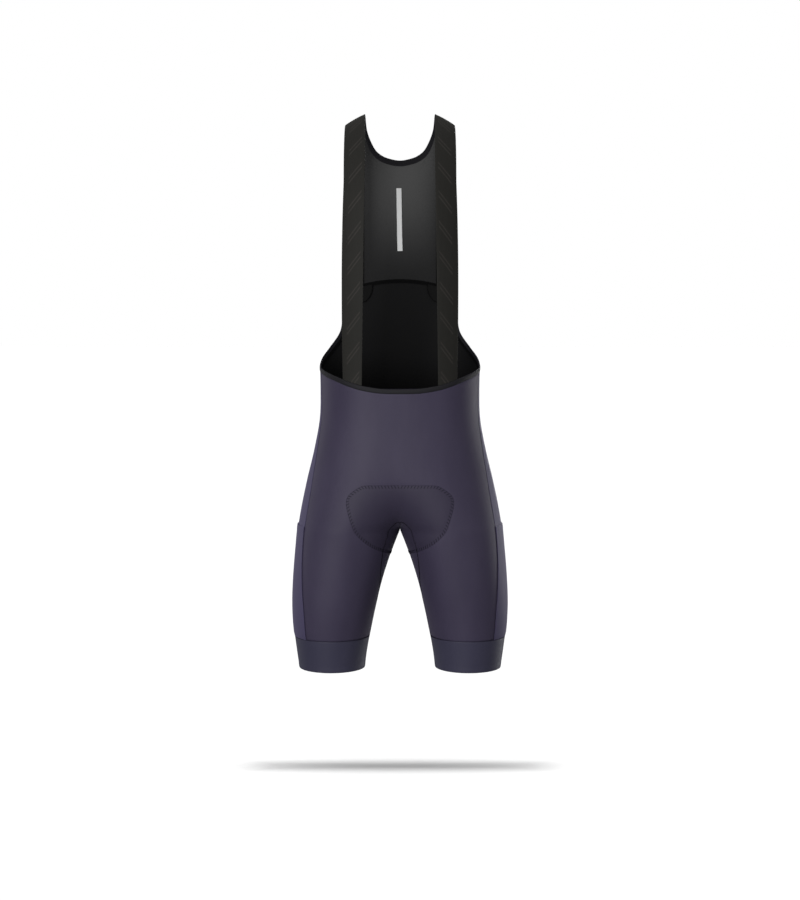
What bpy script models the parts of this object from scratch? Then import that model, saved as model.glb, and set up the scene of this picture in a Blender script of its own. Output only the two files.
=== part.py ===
"""Cycling bib shorts, filled out as they are when worn, with nobody in them.

Units are metres and +Z is up. The front faces -Y, and +X is the wearer's left. The origin lies between
the two shoulder straps, at the top of the shoulders, where the wearer holds the garment up.

Every panel lies on one figure, a smooth closed surface. A place on it is an angle and a height. The angle
is 0 on the side line, -90 degrees at the centre front, 90 at the centre back and 180 at the inner leg.
"""

import functools
import math

import bmesh
import bpy
import numpy as np

# ---------------------------------------------------------------- driving sizes
GAP = 0.0003  # between neighbouring pieces at a seam
HALF_GAP = GAP / 2
KNIT = 0.0014  # wall of the stretch knit panels
MESH_KNIT = 0.0012  # wall of the open mesh panel
ELASTIC = 0.0018  # wall of the woven straps
BINDING = 0.0022  # wall of a folded binding
GRIPPER = 0.0020  # wall of the leg grippers
POCKET = 0.0010  # wall of the pocket layer
PROUD = 0.0004  # a folded edge stands this far above the panel that it finishes

FORK = -0.713  # height where the legs part
CROTCH_RISE = 0.150  # height over which the torso section turns into two legs
CREASE = 0.0018  # half width of the rounding at the crotch crease
PANEL_TIP = -0.693  # where the inner leg panels start, front and back
BLOCK_TOP = -0.555  # below this the rows of every panel are level
GRIPPER_TOP = -0.901
HEM = -0.958
POCKET_MOUTH = -0.693
CAP = -0.200  # above this the figure rounds over the shoulders
STRAP_LINE = 0.078  # distance of a strap's middle from the centre at the top of the shoulder
SHOULDER_SLOPE = 3.6  # curvature of the shoulder's fall towards the arm, per metre
BINDING_WIDTH = 0.0080
CORNER_CLEARANCE = 0.0012  # the mesh panel's upper corner ends this far from the strap

# The figure's level sections. side: half width. gap: half the space between the legs.
# front, back: depth from the side line. flat: half width of the flat stretch at the centre.
SECTIONS = (
    # height   side    gap     front   back    flat
    (-0.200, 0.1500, 0.0000, 0.1250, 0.1180, 0.060),
    (-0.290, 0.1480, 0.0000, 0.1180, 0.1120, 0.060),
    (-0.360, 0.1440, 0.0000, 0.1100, 0.1010, 0.059),
    (-0.420, 0.1402, 0.0000, 0.1030, 0.0960, 0.057),
    (-0.470, 0.1390, 0.0000, 0.0985, 0.0990, 0.055),
    (-0.515, 0.1402, 0.0000, 0.0980, 0.1070, 0.053),
    (-0.570, 0.1498, 0.0000, 0.1010, 0.1175, 0.051),
    (-0.627, 0.1634, 0.0000, 0.1045, 0.1245, 0.050),
    (-0.684, 0.1751, 0.0000, 0.1040, 0.1235, 0.050),
    (-0.713, 0.1797, 0.0000, 0.1015, 0.1170, 0.050),
    (-0.740, 0.1824, 0.0106, 0.0985, 0.1095, 0.050),
    (-0.769, 0.1851, 0.0208, 0.0955, 0.1020, 0.050),
    (-0.797, 0.1872, 0.0296, 0.0925, 0.0950, 0.050),
    (-0.840, 0.1890, 0.0406, 0.0870, 0.0870, 0.050),
    (-0.883, 0.1874, 0.0497, 0.0795, 0.0785, 0.050),
    (-0.926, 0.1823, 0.0580, 0.0715, 0.0695, 0.050),
    (-0.960, 0.1775, 0.0625, 0.0655, 0.0625, 0.050),
)

# Free edge from the back strap down round the side and up to the centre front. The last row only
# sets the slope at the centre front.
FREE_EDGE = (
    # angle    height
    (54.0, -0.2980),
    (52.5, -0.3350),
    (48.5, -0.3690),
    (33.0, -0.3955),
    (14.0, -0.4145),
    (0.0, -0.4260),
    (-20.0, -0.4325),
    (-44.0, -0.4425),
    (-62.0, -0.4525),
    (-74.0, -0.4585),
    (-90.0, -0.4630),
    (-106.0, -0.4585),
)

# Seams of the side panel, as angles forward and back of the side line.
SIDE_SEAMS = (
    # height  front  back
    (-0.425, 12.0, 10.0),
    (-0.560, 18.0, 18.0),
    (-0.693, 28.0, 28.0),
    (-0.800, 35.0, 33.0),
    (-0.901, 38.0, 34.0),
)

# Seams of the inner leg panel, as angles forward and back of the inner leg line.
INNER_SEAMS = (
    # height  front  back
    (-0.693, 41.0, 41.0),
    (-0.713, 38.5, 43.0),
    (-0.735, 38.0, 44.0),
    (-0.757, 34.0, 43.0),
    (-0.778, 28.0, 41.0),
    (-0.800, 19.0, 38.0),
    (-0.825, 8.0, 34.0),
    (-0.850, 1.0, 31.0),
    (-0.901, -2.0, 30.0),
)

SEAT_SEAM = -0.462  # height at the centre back of the seam over the seat
ARCH = (-0.278, 1.9)  # height at the centre back, fall per square metre of distance from it

# Edges of a strap, front waist to shoulder to back, as distances from the centre.
STRAP_FRONT = (
    # station  inner   outer
    (-0.470, 0.0655, 0.0980),
    (-0.340, 0.0635, 0.0975),
    (-0.200, 0.0610, 0.0960),
    (-0.100, 0.0592, 0.0940),
    (-0.040, 0.0605, 0.0940),
    (0.000, 0.0632, 0.0955),
)
STRAP_BACK = (
    # station  inner   outer
    (-0.300, 0.0665, 0.1015),
    (-0.200, 0.0665, 0.1015),
    (-0.100, 0.0660, 0.1000),
    (-0.040, 0.0648, 0.0975),
    (0.000, 0.0632, 0.0955),
)

# Scoop at the neck, centre back to the shoulder: the free edge, and how wide its binding is.
SCOOP = (
    # across  station  width
    (0.0000, -0.1100, 0.0090),
    (0.0231, -0.1065, 0.0088),
    (0.0373, -0.1005, 0.0082),
    (0.0460, -0.0930, 0.0074),
    (0.0531, -0.0810, 0.0062),
    (0.0580, -0.0670, 0.0050),
    (0.0603, -0.0520, 0.0042),
    (0.0607, -0.0260, 0.0032),
    (0.0606, 0.0000, 0.0024),
)

# Seat pad, front to back: the middle line, and the edge, as angles from the inner leg line.
PAD = (
    # middle   edge    edge height
    (-79.5, -98.9, -0.6270),
    (-74.0, -107.0, -0.6480),
    (-67.0, -100.5, -0.6720),
    (-58.0, -88.5, -0.6985),
    (-47.0, -72.5, -0.7215),
    (-34.0, -57.0, -0.7355),
    (-19.0, -37.0, -0.7460),
    (0.0, 0.0, -0.7560),
    (19.0, 38.0, -0.7480),
    (36.0, 62.0, -0.7330),
    (52.0, 84.0, -0.7060),
    (64.0, 99.0, -0.6720),
    (73.0, 107.0, -0.6400),
    (80.0, 105.0, -0.6120),
    (85.0, 98.0, -0.5940),
)
PAD_MIDDLE = 0.0060  # foam at the middle of the pad
PAD_EDGE = 0.0022  # and at its edge
PAD_SEAT = 0.0018  # clearance between the pad and the panels under it

LAYER = 0.0006  # clearance of a piece that lies inside a panel
LABEL = 0.0010  # wall of the label
LABEL_WIDTH = 0.0090
LABEL_TOP, LABEL_BOTTOM = -0.1430, -0.2240  # stations
TAB_DROP, TAB_DEPTH = 0.0012, 0.0300  # from the arched seam down to a strap end's two edges
TAB_INNER, TAB_OUTER = 0.0490, 0.0930  # its edges, as distances from the centre
TAB_ROUNDING = 0.0130  # how far its lower inner corner is cut back

COLOURS = {
    "knit": (0.046, 0.042, 0.068),
    "side_knit": (0.056, 0.051, 0.080),
    "back_knit": (0.010, 0.010, 0.012),
    "mesh_knit": (0.020, 0.020, 0.021),
    "elastic": (0.028, 0.027, 0.024),
    "binding": (0.038, 0.036, 0.050),
    "gripper": (0.038, 0.041, 0.058),
    "label": (0.560, 0.570, 0.580),
    "pad": (0.030, 0.030, 0.034),
}
ROUGHNESS = {"knit": 0.55, "side_knit": 0.55, "gripper": 0.5, "label": 0.5}


# ---------------------------------------------------------------- smooth tables
class Smooth:
    """A smooth line through the rows of a table, whose first column is the place along it."""

    def __init__(self, rows):
        rows = np.array(sorted(rows), float)
        self.at, self.values = rows[:, 0], rows[:, 1:]
        self.slopes = np.gradient(self.values, self.at, axis=0)

    def __call__(self, place):
        place = np.clip(np.asarray(place, float), self.at[0], self.at[-1])
        i = np.clip(np.searchsorted(self.at, place, side="right") - 1, 0, len(self.at) - 2)
        step = self.at[i + 1] - self.at[i]
        t = ((place - self.at[i]) / step)[..., None]
        step = step[..., None]
        ends = self.values[i] * (1 + 2 * t) * (1 - t) ** 2 + self.values[i + 1] * t * t * (3 - 2 * t)
        turns = self.slopes[i] * t * (1 - t) ** 2 - self.slopes[i + 1] * t * t * (1 - t)
        return np.moveaxis(ends + step * turns, -1, 0)


section_table = Smooth(SECTIONS)
gap_table = Smooth([(row[0], row[2]) for row in SECTIONS if row[0] <= FORK])
side_seams = Smooth(SIDE_SEAMS)
inner_seams = Smooth(INNER_SEAMS)
strap_front = Smooth(STRAP_FRONT)
strap_back = Smooth(STRAP_BACK)
free_edge = Smooth([(i, *row) for i, row in enumerate(FREE_EDGE)])
scoop = Smooth([(i, *row) for i, row in enumerate(SCOOP)])
pad_outline = Smooth([(i, *row) for i, row in enumerate(PAD)])


# ---------------------------------------------------------------- the figure
def section(height):
    """(base, width, fork share, flat, front, back) of the level section at a height."""
    side, _, front, back, flat = section_table(height)
    rise = np.clip((height - FORK) / CROTCH_RISE, 0, 1)
    fork = (1 - rise) ** 2
    flat = CREASE + (flat - CREASE) * (1 - fork) ** 1.3
    gap = np.where(height < FORK, gap_table(np.minimum(height, FORK))[0], 0)
    base = np.hypot(gap, flat)
    width = (np.hypot(side, flat) - base) / (1 + fork)
    return base, width, fork, flat, front, back


def lean(x, height):
    """Cosine of the angle at which the section reaches the distance x from the centre."""
    base, width, fork, flat, _, _ = section(height)
    return (np.hypot(x, flat) - base) / width - fork


def skin(angle, height):
    """Points and outward normals of the figure below the shoulders."""
    angle, height = np.broadcast_arrays(np.asarray(angle, float), np.asarray(height, float))
    base, width, fork, flat, front, back = section(height)
    turn = np.maximum(np.cos(angle), -fork)
    reach = base + width * (turn + fork)
    x = np.sqrt(np.maximum(reach**2 - flat**2, 0))
    depth = np.where(np.sin(angle) < 0, front, back)
    y = depth * np.sign(np.sin(angle)) * np.sqrt(1 - turn**2)
    step = 1e-4
    low, high = section(height - step), section(height + step)
    column = np.where(np.sin(angle) < 0, 4, 5)
    slope_y = (np.choose(column - 4, high[4:6]) - np.choose(column - 4, low[4:6])) / (2 * step)
    slope_lean = (lean(x, height + step) - lean(x, height - step)) / (2 * step)
    normal = np.stack(
        [
            turn * x / (np.hypot(x, flat) * width),
            y / depth**2,
            turn * slope_lean - y**2 * slope_y / depth**3,
        ],
        -1,
    )
    normal /= np.linalg.norm(normal, axis=-1, keepdims=True)
    return np.stack([x, y, height], -1), normal


def shoulder(x, station, front):
    """Points and outward normals of the rounded top. Station runs from CAP to 0 at the very top."""
    x, station = np.broadcast_arrays(np.asarray(x, float), np.asarray(station, float))
    _, width, _, flat, depth_front, depth_back = section(np.full(x.shape, CAP))
    sign = -1 if front else 1
    depth = depth_front if front else depth_back
    turn = (np.hypot(x, flat) - flat) / width
    bulge = np.sqrt(1 - turn**2)
    bulge_slope = -turn * x / (np.hypot(x, flat) * width * bulge)
    angle = (station - CAP) / -CAP * math.pi / 2
    fall = SHOULDER_SLOPE * np.sin(angle) ** 3
    fall_slope = 3 * SHOULDER_SLOPE * np.sin(angle) ** 2 * np.cos(angle)
    out = x**2 - STRAP_LINE**2
    y = sign * depth * np.cos(angle) * bulge
    z = CAP - CAP * np.sin(angle) - fall * out
    across = np.stack([np.ones_like(x), sign * depth * np.cos(angle) * bulge_slope, -2 * fall * x], -1)
    along = np.stack(
        [0 * x, -sign * depth * np.sin(angle) * bulge, -CAP * np.cos(angle) - fall_slope * out], -1
    )
    normal = np.cross(across, along) * -sign
    normal /= np.linalg.norm(normal, axis=-1, keepdims=True)
    return np.stack([x, y, z], -1), normal


def figure(x, station, front):
    """Points and normals at a distance from the centre. Station is the height up to CAP."""
    x, station = np.broadcast_arrays(np.asarray(x, float), np.asarray(station, float))
    low = np.minimum(station, CAP)
    angle = np.arccos(np.clip(lean(x, low), -1, 1)) * (-1 if front else 1)
    below, above = skin(angle, low), shoulder(x, np.maximum(station, CAP), front)
    high = (station > CAP)[..., None]
    return tuple(np.where(high, above[i], below[i]) for i in (0, 1))


def angle_of(point):
    """Angle on the figure of a point near it."""
    x, y, z = np.moveaxis(point, -1, 0)
    _, _, _, _, front, back = section(z)
    return np.arctan2(y / np.where(y < 0, front, back), lean(x, z))


def centre_angle(height):
    """Angle at which the section meets the middle plane."""
    return np.arccos(-section(np.asarray(height, float))[2])


def crotch(inner_angle):
    """Height of the crotch line at an angle from the inner leg line."""
    return FORK + CROTCH_RISE * (1 - np.sqrt(np.cos(inner_angle)))


def evenly(angles, heights, count):
    """Angles and heights at even steps over the figure, from a first place to a second."""
    share = np.linspace(0, 1, 201) ** 2
    line = [start + (end - start) * share for start, end in (angles, heights)]
    steps = np.linalg.norm(np.diff(skin(*line)[0], axis=0), axis=1)
    length = np.concatenate([[0], np.cumsum(steps)])
    at = np.linspace(0, length[-1], count)
    return [np.interp(at, length, values) for values in line]


def shift(angle, height, distance):
    """The angle a small distance further round the figure."""
    step = 1e-3
    reach = skin(angle + step, height)[0] - skin(angle - step, height)[0]
    return angle + distance * 2 * step / np.linalg.norm(reach, axis=-1)


# ---------------------------------------------------------------- edges shared by panels
@functools.cache
def edge_line(distance, count=401):
    """Angles, heights and distances from the centre of a line that lies inside the free edge."""
    angle, height = free_edge(np.linspace(0, len(FREE_EDGE) - 2, count))
    point, normal = skin(np.radians(angle), height)
    inward = np.cross(normal, np.gradient(point, axis=0))
    inward /= np.linalg.norm(inward, axis=-1, keepdims=True)
    inward[-1, 0] = 0
    moved = point + distance * inward
    return angle_of(moved), moved[:, 2], moved[:, 0]


def panel_top(angle):
    """Height of the upper seam of the front, side and seat panels."""
    edge_angle, edge_height, _ = edge_line(BINDING_WIDTH + GAP)
    under_binding = np.interp(-angle, -edge_angle, edge_height)
    corner_angle = math.radians(SIDE_SEAMS[0][2])
    share = np.clip((angle - corner_angle) / (math.pi / 2 - corner_angle), 0, 1)
    corner = np.interp(-corner_angle, -edge_angle, edge_height)
    seat = SEAT_SEAM + (corner - SEAT_SEAM) * (1 - share) ** 2
    return np.where(angle > corner_angle, seat, under_binding)


PAST_CORNER = 1e-6  # an angle just past the corner reads the seat seam, not the free edge


def arch(x):
    """Height of the arched seam across the back."""
    return ARCH[0] - ARCH[1] * x**2


FRONT_COLUMNS = 11
SEAT_COLUMNS = 11
SIDE_COLUMNS = 6
BACK_ROWS = 10
UPPER_ROWS = 5
ROWS_TO_TIP = 8
ROWS_BELOW_TIP = 12
LEVELS = np.concatenate(
    [
        PANEL_TIP + (BLOCK_TOP - PANEL_TIP) * np.linspace(1, 0, ROWS_TO_TIP) ** 1.5,
        PANEL_TIP + (GRIPPER_TOP + HALF_GAP - PANEL_TIP) * np.linspace(0, 1, ROWS_BELOW_TIP + 1)[1:] ** 1.3,
    ]
)  # closer together where the legs part
TIP_ROW = UPPER_ROWS + ROWS_TO_TIP - 1
ROWS = UPPER_ROWS + len(LEVELS)


def row_heights(angle, row):
    """Heights of a panel's row: level low down, and following the upper seam near the waist."""
    if row >= UPPER_ROWS:
        return np.full_like(angle, LEVELS[row - UPPER_ROWS])
    top = panel_top(angle)
    return top + (BLOCK_TOP - top) * row / UPPER_ROWS


def seam_height(row):
    """One height for each row, at which the seams' angles are read."""
    return float(row_heights(np.array([0.0]), row)[0])


# ---------------------------------------------------------------- walls
def material(name):
    """A plain finish for one kind of cloth."""
    found = bpy.data.materials.get(name)
    if found:
        return found
    made = bpy.data.materials.new(name)
    made.use_nodes = True
    shader = made.node_tree.nodes["Principled BSDF"]
    shader.inputs["Base Color"].default_value = (*COLOURS[name], 1)
    shader.inputs["Roughness"].default_value = ROUGHNESS.get(name, 0.75)
    shader.inputs["Metallic"].default_value = 0
    made.diffuse_color = (*COLOURS[name], 1)
    return made


def grid_faces(rows, columns, closed):
    """Quads of a grid, as numbers of its points."""
    faces = []
    for start in range(0, (rows - 1) * columns, columns):
        for column in range(columns if closed else columns - 1):
            here, beside = start + column, start + (column + 1) % columns
            faces.append((here, beside, beside + columns, here + columns))
    return faces


def rim(rows, columns, closed):
    """Pairs of neighbouring points round a grid's boundary."""
    first, last = 0, (rows - 1) * columns
    across = columns if closed else columns - 1
    ends = [(first + c, first + (c + 1) % columns) for c in range(across)]
    ends += [(last + (c + 1) % columns, last + c) for c in range(across)]
    if not closed:
        ends += [((r + 1) * columns, r * columns) for r in range(rows - 1)]
        ends += [(r * columns + columns - 1, (r + 1) * columns + columns - 1) for r in range(rows - 1)]
    return ends


def wall(name, points, normals, thickness, finish, lift=0.0, side=1, mirrored=False, closed=False):
    """One piece of cloth: a grid of points on the figure, given a thickness towards the wearer.

    Both faces follow the figure's own normals, so the rims of neighbouring pieces stay parallel. A
    mirrored piece is half a grid that is open where it meets the middle plane.
    """
    rows, columns = points.shape[:2]
    outer = (points + normals * lift).reshape(-1, 3)
    inner = (points + normals * (lift - np.asarray(thickness)[..., None])).reshape(-1, 3)
    faces = grid_faces(rows, columns, closed)
    a, b, _, d = (outer[list(corner)] for corner in zip(*faces))
    facing = np.einsum("ij,ij->i", np.cross(b - a, d - a), normals.reshape(-1, 3)[[f[0] for f in faces]])
    turned = facing.sum() < 0
    count = rows * columns
    shell = bmesh.new()
    corners = [shell.verts.new((side * x, y, z)) for x, y, z in np.concatenate([outer, inner])]
    quads = [(f, turned) for f in faces]
    quads += [(tuple(i + count for i in f), not turned) for f in faces]
    for i, j in rim(rows, columns, closed):
        at_middle = mirrored and outer[i, 0] == 0 and outer[j, 0] == 0
        if not at_middle:
            quads.append(((j, i, i + count, j + count), turned))
    for quad, flip in quads:
        loop = [corners[i] for i in (quad[::-1] if flip != (side < 0) else quad)]
        shell.faces.new(loop)
    mesh = bpy.data.meshes.new(name)
    shell.to_mesh(mesh)
    shell.free()
    mesh.shade_smooth()
    mesh.set_sharp_from_angle(angle=math.radians(40))
    mesh.materials.append(material(finish))
    piece = bpy.data.objects.new(name, mesh)
    garment.objects.link(piece)
    piece.parent = shoulders
    if mirrored:
        mirror = piece.modifiers.new("other half", "MIRROR")
        mirror.use_axis = (True, False, False)
        mirror.merge_threshold = 0.0001
    return piece


def pair(name, *arguments, **options):
    """The same piece for the wearer's left and right."""
    for suffix, side in (("left", 1), ("right", -1)):
        wall(f"{name}_{suffix}", *arguments, side=side, **options)


def flatten_middle(points, normals):
    """Points and normals in the middle plane lose what rounding left across it."""
    middle = np.abs(points[..., 0]) < 1e-6
    points[middle, 0] = 0
    normals[middle, 0] = 0
    normals /= np.linalg.norm(normals, axis=-1, keepdims=True)
    return points, normals


# ---------------------------------------------------------------- panels of the shorts
def half_angles(front, row):
    """Angles along a row of the front or the seat panel, from the middle or inner seam outwards."""
    sign = -1 if front else 1
    height = seam_height(row)
    side = shift(math.radians(side_seams(height)[0 if front else 1]), height, HALF_GAP)
    if row <= TIP_ROW:
        height = row_heights(np.array([sign * math.pi / 2]), row)[0]
        inner = centre_angle(height)
    else:
        seam = math.radians(inner_seams(height)[0 if front else 1])
        inner = shift(math.pi - seam, height, -HALF_GAP)
    count = FRONT_COLUMNS if front else SEAT_COLUMNS
    return evenly((sign * inner, sign * side), (height, height), count)[0]


def half_panel(front):
    """Half of the front or the seat panel."""
    angles = np.array([half_angles(front, row) for row in range(ROWS)])
    upright = np.clip(angles, -math.pi / 2, math.pi / 2)
    heights = np.array([row_heights(upright[row], row) for row in range(ROWS)])
    if not front:
        heights[0] -= HALF_GAP
    return flatten_middle(*skin(angles, heights))


def side_angles(row):
    """Angles along a row of the side panel, from the front seam to the back one."""
    height = seam_height(row)
    front, back = np.radians(side_seams(height))
    return np.linspace(shift(-front, height, HALF_GAP), shift(back, height, -HALF_GAP), SIDE_COLUMNS)


def side_grid(first_row=0):
    """Points of the side panel, from a row down to the gripper."""
    angles = np.array([side_angles(row) for row in range(first_row, ROWS)])
    heights = np.array([row_heights(angles[row - first_row], row) for row in range(first_row, ROWS)])
    return skin(angles, heights)


def inner_grid(columns=8):
    """Points of the inner leg panel, hung from the crotch line."""
    rows = LEVELS[LEVELS < PANEL_TIP - 1e-6]
    tip = PANEL_TIP - 0.0012
    tip_angle = np.arccos((1 - (tip - FORK) / CROTCH_RISE) ** 2)
    top_angle = np.linspace(-tip_angle, tip_angle, columns)
    top = crotch(top_angle)
    share = np.linspace(0, 1, columns)
    angles, heights = [top_angle], [top]
    for level in rows:
        down = (tip - level) / (tip - rows[-1])
        front, back = np.radians(inner_seams(level))
        ends = -shift(front, level, -HALF_GAP), shift(back, level, -HALF_GAP)
        angles.append(ends[0] + (ends[1] - ends[0]) * share)
        heights.append(top + (rows[-1] - top) * down)
    points, normals = skin(math.pi - np.array(angles), np.array(heights))
    normals[0, :, 0] = 0
    normals /= np.linalg.norm(normals, axis=-1, keepdims=True)
    points[..., 0] = np.maximum(points[..., 0], HALF_GAP)
    return points, normals


def gripper_grid(rows=4, columns=32):
    """Points of a leg gripper, a closed ring."""
    angle = np.linspace(-math.pi, math.pi, columns, endpoint=False)
    height = np.linspace(GRIPPER_TOP - HALF_GAP, HEM, rows)[:, None]
    return skin(angle[None, :], height)


def add_shorts():
    """Front, seat, sides, inner legs, grippers and pockets."""
    wall("front_panel", *half_panel(True), KNIT, "knit", mirrored=True)
    wall("seat_panel", *half_panel(False), KNIT, "knit", mirrored=True)
    pair("side_panel", *side_grid(), KNIT, "side_knit")
    pair("inner_leg_panel", *inner_grid(), KNIT, "knit")
    pair("leg_gripper", *gripper_grid(), GRIPPER, "gripper", lift=PROUD / 2, closed=True)
    mouth_row = UPPER_ROWS + int(np.argmin(np.abs(LEVELS - POCKET_MOUTH)))
    pair("leg_pocket", *side_grid(mouth_row), POCKET, "side_knit", lift=GAP + POCKET)


# ---------------------------------------------------------------- edges, back and straps
def back_edge_heights():
    """Heights at which the rows of the lower back panel meet its binding, seat seam first."""
    angle, height, x = edge_line(BINDING_WIDTH + GAP)
    first = np.interp(-math.radians(SIDE_SEAMS[0][2]), -angle, height)
    return np.linspace(first, arch(x[0]) - HALF_GAP, BACK_ROWS)


def edge_places():
    """Places along the free edge, as shares of it, at every point where a panel meets the binding."""
    angle, height, _ = edge_line(BINDING_WIDTH + GAP)
    share = np.linspace(0, 1, len(angle))
    back = np.interp(-back_edge_heights(), -height, share)
    side = np.interp(-side_angles(0), -angle, share)
    front = np.interp(-half_angles(True, 0), -angle, share)
    return np.array([0.0, *sorted({*back[1:-1], *side, *front[1:-1]}), 1.0])


def edge_row(distance):
    """Angles, heights and distances from the centre, at those places, of a line inside the free edge."""
    line = np.array(edge_line(distance))
    share = np.linspace(0, 1, line.shape[1])
    return [np.interp(edge_places(), share, values) for values in line]


def add_waist_binding():
    """The folded elastic along the free edge, a half that meets its mirror at the centre front."""
    rows = [edge_row(distance) for distance in (0, BINDING_WIDTH / 2, BINDING_WIDTH)]
    angles, heights, distances = (np.array([row[i] for row in rows]) for i in range(3))
    heights[:, 0] = arch(distances[:, 0]) - HALF_GAP
    points, normals = skin(angles, heights)
    points[:, -1, 0] = 0
    wall("waist_binding", *flatten_middle(points, normals), BINDING, "binding", lift=PROUD, mirrored=True)


def add_lower_back():
    """The dark panel between the seat seam, the two free edges and the arched seam."""
    edge_angle, edge_height, _ = edge_line(BINDING_WIDTH + GAP)
    share = np.linspace(0, 1, SEAT_COLUMNS)
    angles, heights = [], []
    for part, side_height in zip(np.linspace(0, 1, BACK_ROWS), back_edge_heights()):
        side_angle = np.interp(-side_height, -edge_height, edge_angle)
        angle = evenly((math.pi / 2, side_angle), (side_height, side_height), SEAT_COLUMNS)[0]
        top = arch(skin(angle, side_height)[0][..., 0]) - HALF_GAP
        foot = panel_top(angle + PAST_CORNER) + HALF_GAP
        level = foot * (1 - part) + top * part
        angles.append(angle)
        heights.append(level + (side_height - level[-1]) * share)
    points, normals = flatten_middle(*skin(np.array(angles), np.array(heights)))
    wall("lower_back_panel", points, normals, KNIT, "back_knit", mirrored=True)


def scoop_lines(count):
    """Across and station of the scoop's free edge and of its binding's inner edge, centre to shoulder."""
    x, station, width = scoop(np.linspace(0, len(SCOOP) - 1, count))
    point, normal = figure(x, station, False)
    along = np.gradient(point, axis=0)
    along[0] = (1, 0, 0)
    down = np.cross(normal, along)
    down /= np.linalg.norm(down, axis=-1, keepdims=True)
    step = 1e-4
    climb = (figure(x, station + step, False)[0] - figure(x, station - step, False)[0]) / (2 * step)
    fall = np.einsum("ij,ij->i", down, climb) / np.einsum("ij,ij->i", climb, climb)
    return x, station, x + width * down[:, 0], station + width * fall


def between(start, end, count):
    """Rows of values from one line to another."""
    share = np.linspace(0, 1, count)[:, None]
    return np.asarray(start) * (1 - share) + np.asarray(end) * share


def add_neck_binding(places=37):
    """The folded edge of the scoop, from shoulder to shoulder."""
    x, station, inner_x, inner_station = scoop_lines(places)
    beside_strap = strap_back(inner_station)[0] - GAP
    inner_x = np.minimum(inner_x, beside_strap)
    points, normals = figure(between(x, inner_x, 3), between(station, inner_station, 3), False)
    wall("neck_binding", *flatten_middle(points, normals), BINDING, "binding", lift=PROUD, mirrored=True)


def add_upper_back(rows=10):
    """The mesh panel between the back straps, from the arched seam to the scoop."""
    _, _, x, station = scoop_lines(25)
    clear = x < strap_back(station)[0] - CORNER_CLEARANCE
    x, station = x[clear], station[clear] - GAP
    share = x / x[-1]
    foot = arch(share * (strap_back(ARCH[0])[0] - GAP)) + HALF_GAP
    points, normals = [], []
    for part in np.linspace(0, 1, rows):
        level = station + (foot - station) * part
        widest = strap_back(level)[0] - GAP
        straight = share * np.minimum(widest, widest[-1])
        row = figure(x + (straight - x) * np.clip(part * 3, 0, 1), level, False)
        points.append(row[0])
        normals.append(row[1])
    points, normals = flatten_middle(np.array(points), np.array(normals))
    wall("upper_back_panel", points, normals, MESH_KNIT, "mesh_knit", mirrored=True)


def add_seat_pad(rows=27, columns=8):
    """The moulded pad inside the crotch: thick along its middle line and thin at its stitched edge."""
    middle, edge, edge_height = pad_outline(np.linspace(0, len(PAD) - 1, rows))
    middle, edge = math.pi - np.radians(middle), math.pi - np.radians(edge)
    middle_height = crotch(math.pi - middle)
    lines = [
        evenly((middle[i], edge[i]), (middle_height[i], edge_height[i]), columns) for i in range(rows)
    ]
    angles, heights = np.moveaxis(np.array(lines), 1, 0)
    points, normals = skin(angles, heights)
    points[:, 0, 0] = 0
    points, normals = flatten_middle(points, normals)
    share = np.linspace(0, 1, columns)
    ends = np.minimum(1, np.minimum(np.arange(rows), np.arange(rows)[::-1]) / 3)[:, None]
    thickness = PAD_EDGE + (PAD_MIDDLE - PAD_EDGE) * (1 - share**2) * ends
    wall("seat_pad", points, normals, thickness, "pad", lift=-KNIT - PAD_SEAT, mirrored=True)


def add_back_tabs(rows=5, columns=4):
    """The turned strap ends that show inside, under the arched seam."""
    part = np.linspace(0, 1, rows)[:, None]
    inner = TAB_INNER + TAB_ROUNDING * part**3
    across = inner + (TAB_OUTER - inner) * np.linspace(0, 1, columns)
    height = arch(across) - TAB_DROP - (TAB_DEPTH - TAB_DROP) * part
    points, normals = figure(across, height, False)
    pair("back_tab", points, normals, ELASTIC, "elastic", lift=-KNIT - LAYER)


def add_loop_label(rows=9):
    """The narrow strip that hangs inside the mesh panel."""
    across = np.array([0, LABEL_WIDTH / 2])
    height = np.linspace(LABEL_TOP, LABEL_BOTTOM, rows)[:, None]
    points, normals = figure(across, height, False)
    points, normals = flatten_middle(points, normals)
    wall("loop_label", points, normals, LABEL, "label", lift=-MESH_KNIT - LAYER, mirrored=True)


def add_straps(columns=4):
    """The woven elastics, from the front waist over the shoulders to the arched seam."""
    share = np.linspace(0, 1, columns)
    edge_angle, edge_height, edge_x = edge_row(-GAP)
    ahead = edge_angle < 0
    foot_x, foot_height = edge_x[ahead][::-1], edge_height[ahead][::-1]
    points, normals = [], []

    def add_row(station, front):
        inner, outer = (strap_front if front else strap_back)(np.mean(station))
        row = figure(inner + (outer - inner) * share, station, front)
        points.append(row[0])
        normals.append(row[1])

    inner, outer = strap_front(STRAP_FRONT[0][0])
    foot = np.interp(inner + (outer - inner) * share, foot_x, foot_height)
    for part in np.linspace(0, 1, 13)[:-1]:
        add_row(foot + (CAP - foot) * part, True)
    for station in np.linspace(CAP, 0, 12):
        add_row(station + 0 * share, True)
    for station in np.linspace(0, CAP, 12)[1:]:
        add_row(station + 0 * share, False)
    inner, outer = strap_back(ARCH[0])
    end = arch(inner + (outer - inner) * share) + HALF_GAP
    for part in np.linspace(0, 1, 6)[1:]:
        add_row(CAP + (end - CAP) * part, False)
    pair("strap", np.array(points), np.array(normals), ELASTIC, "elastic")


shoulders = None
garment = None


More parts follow.
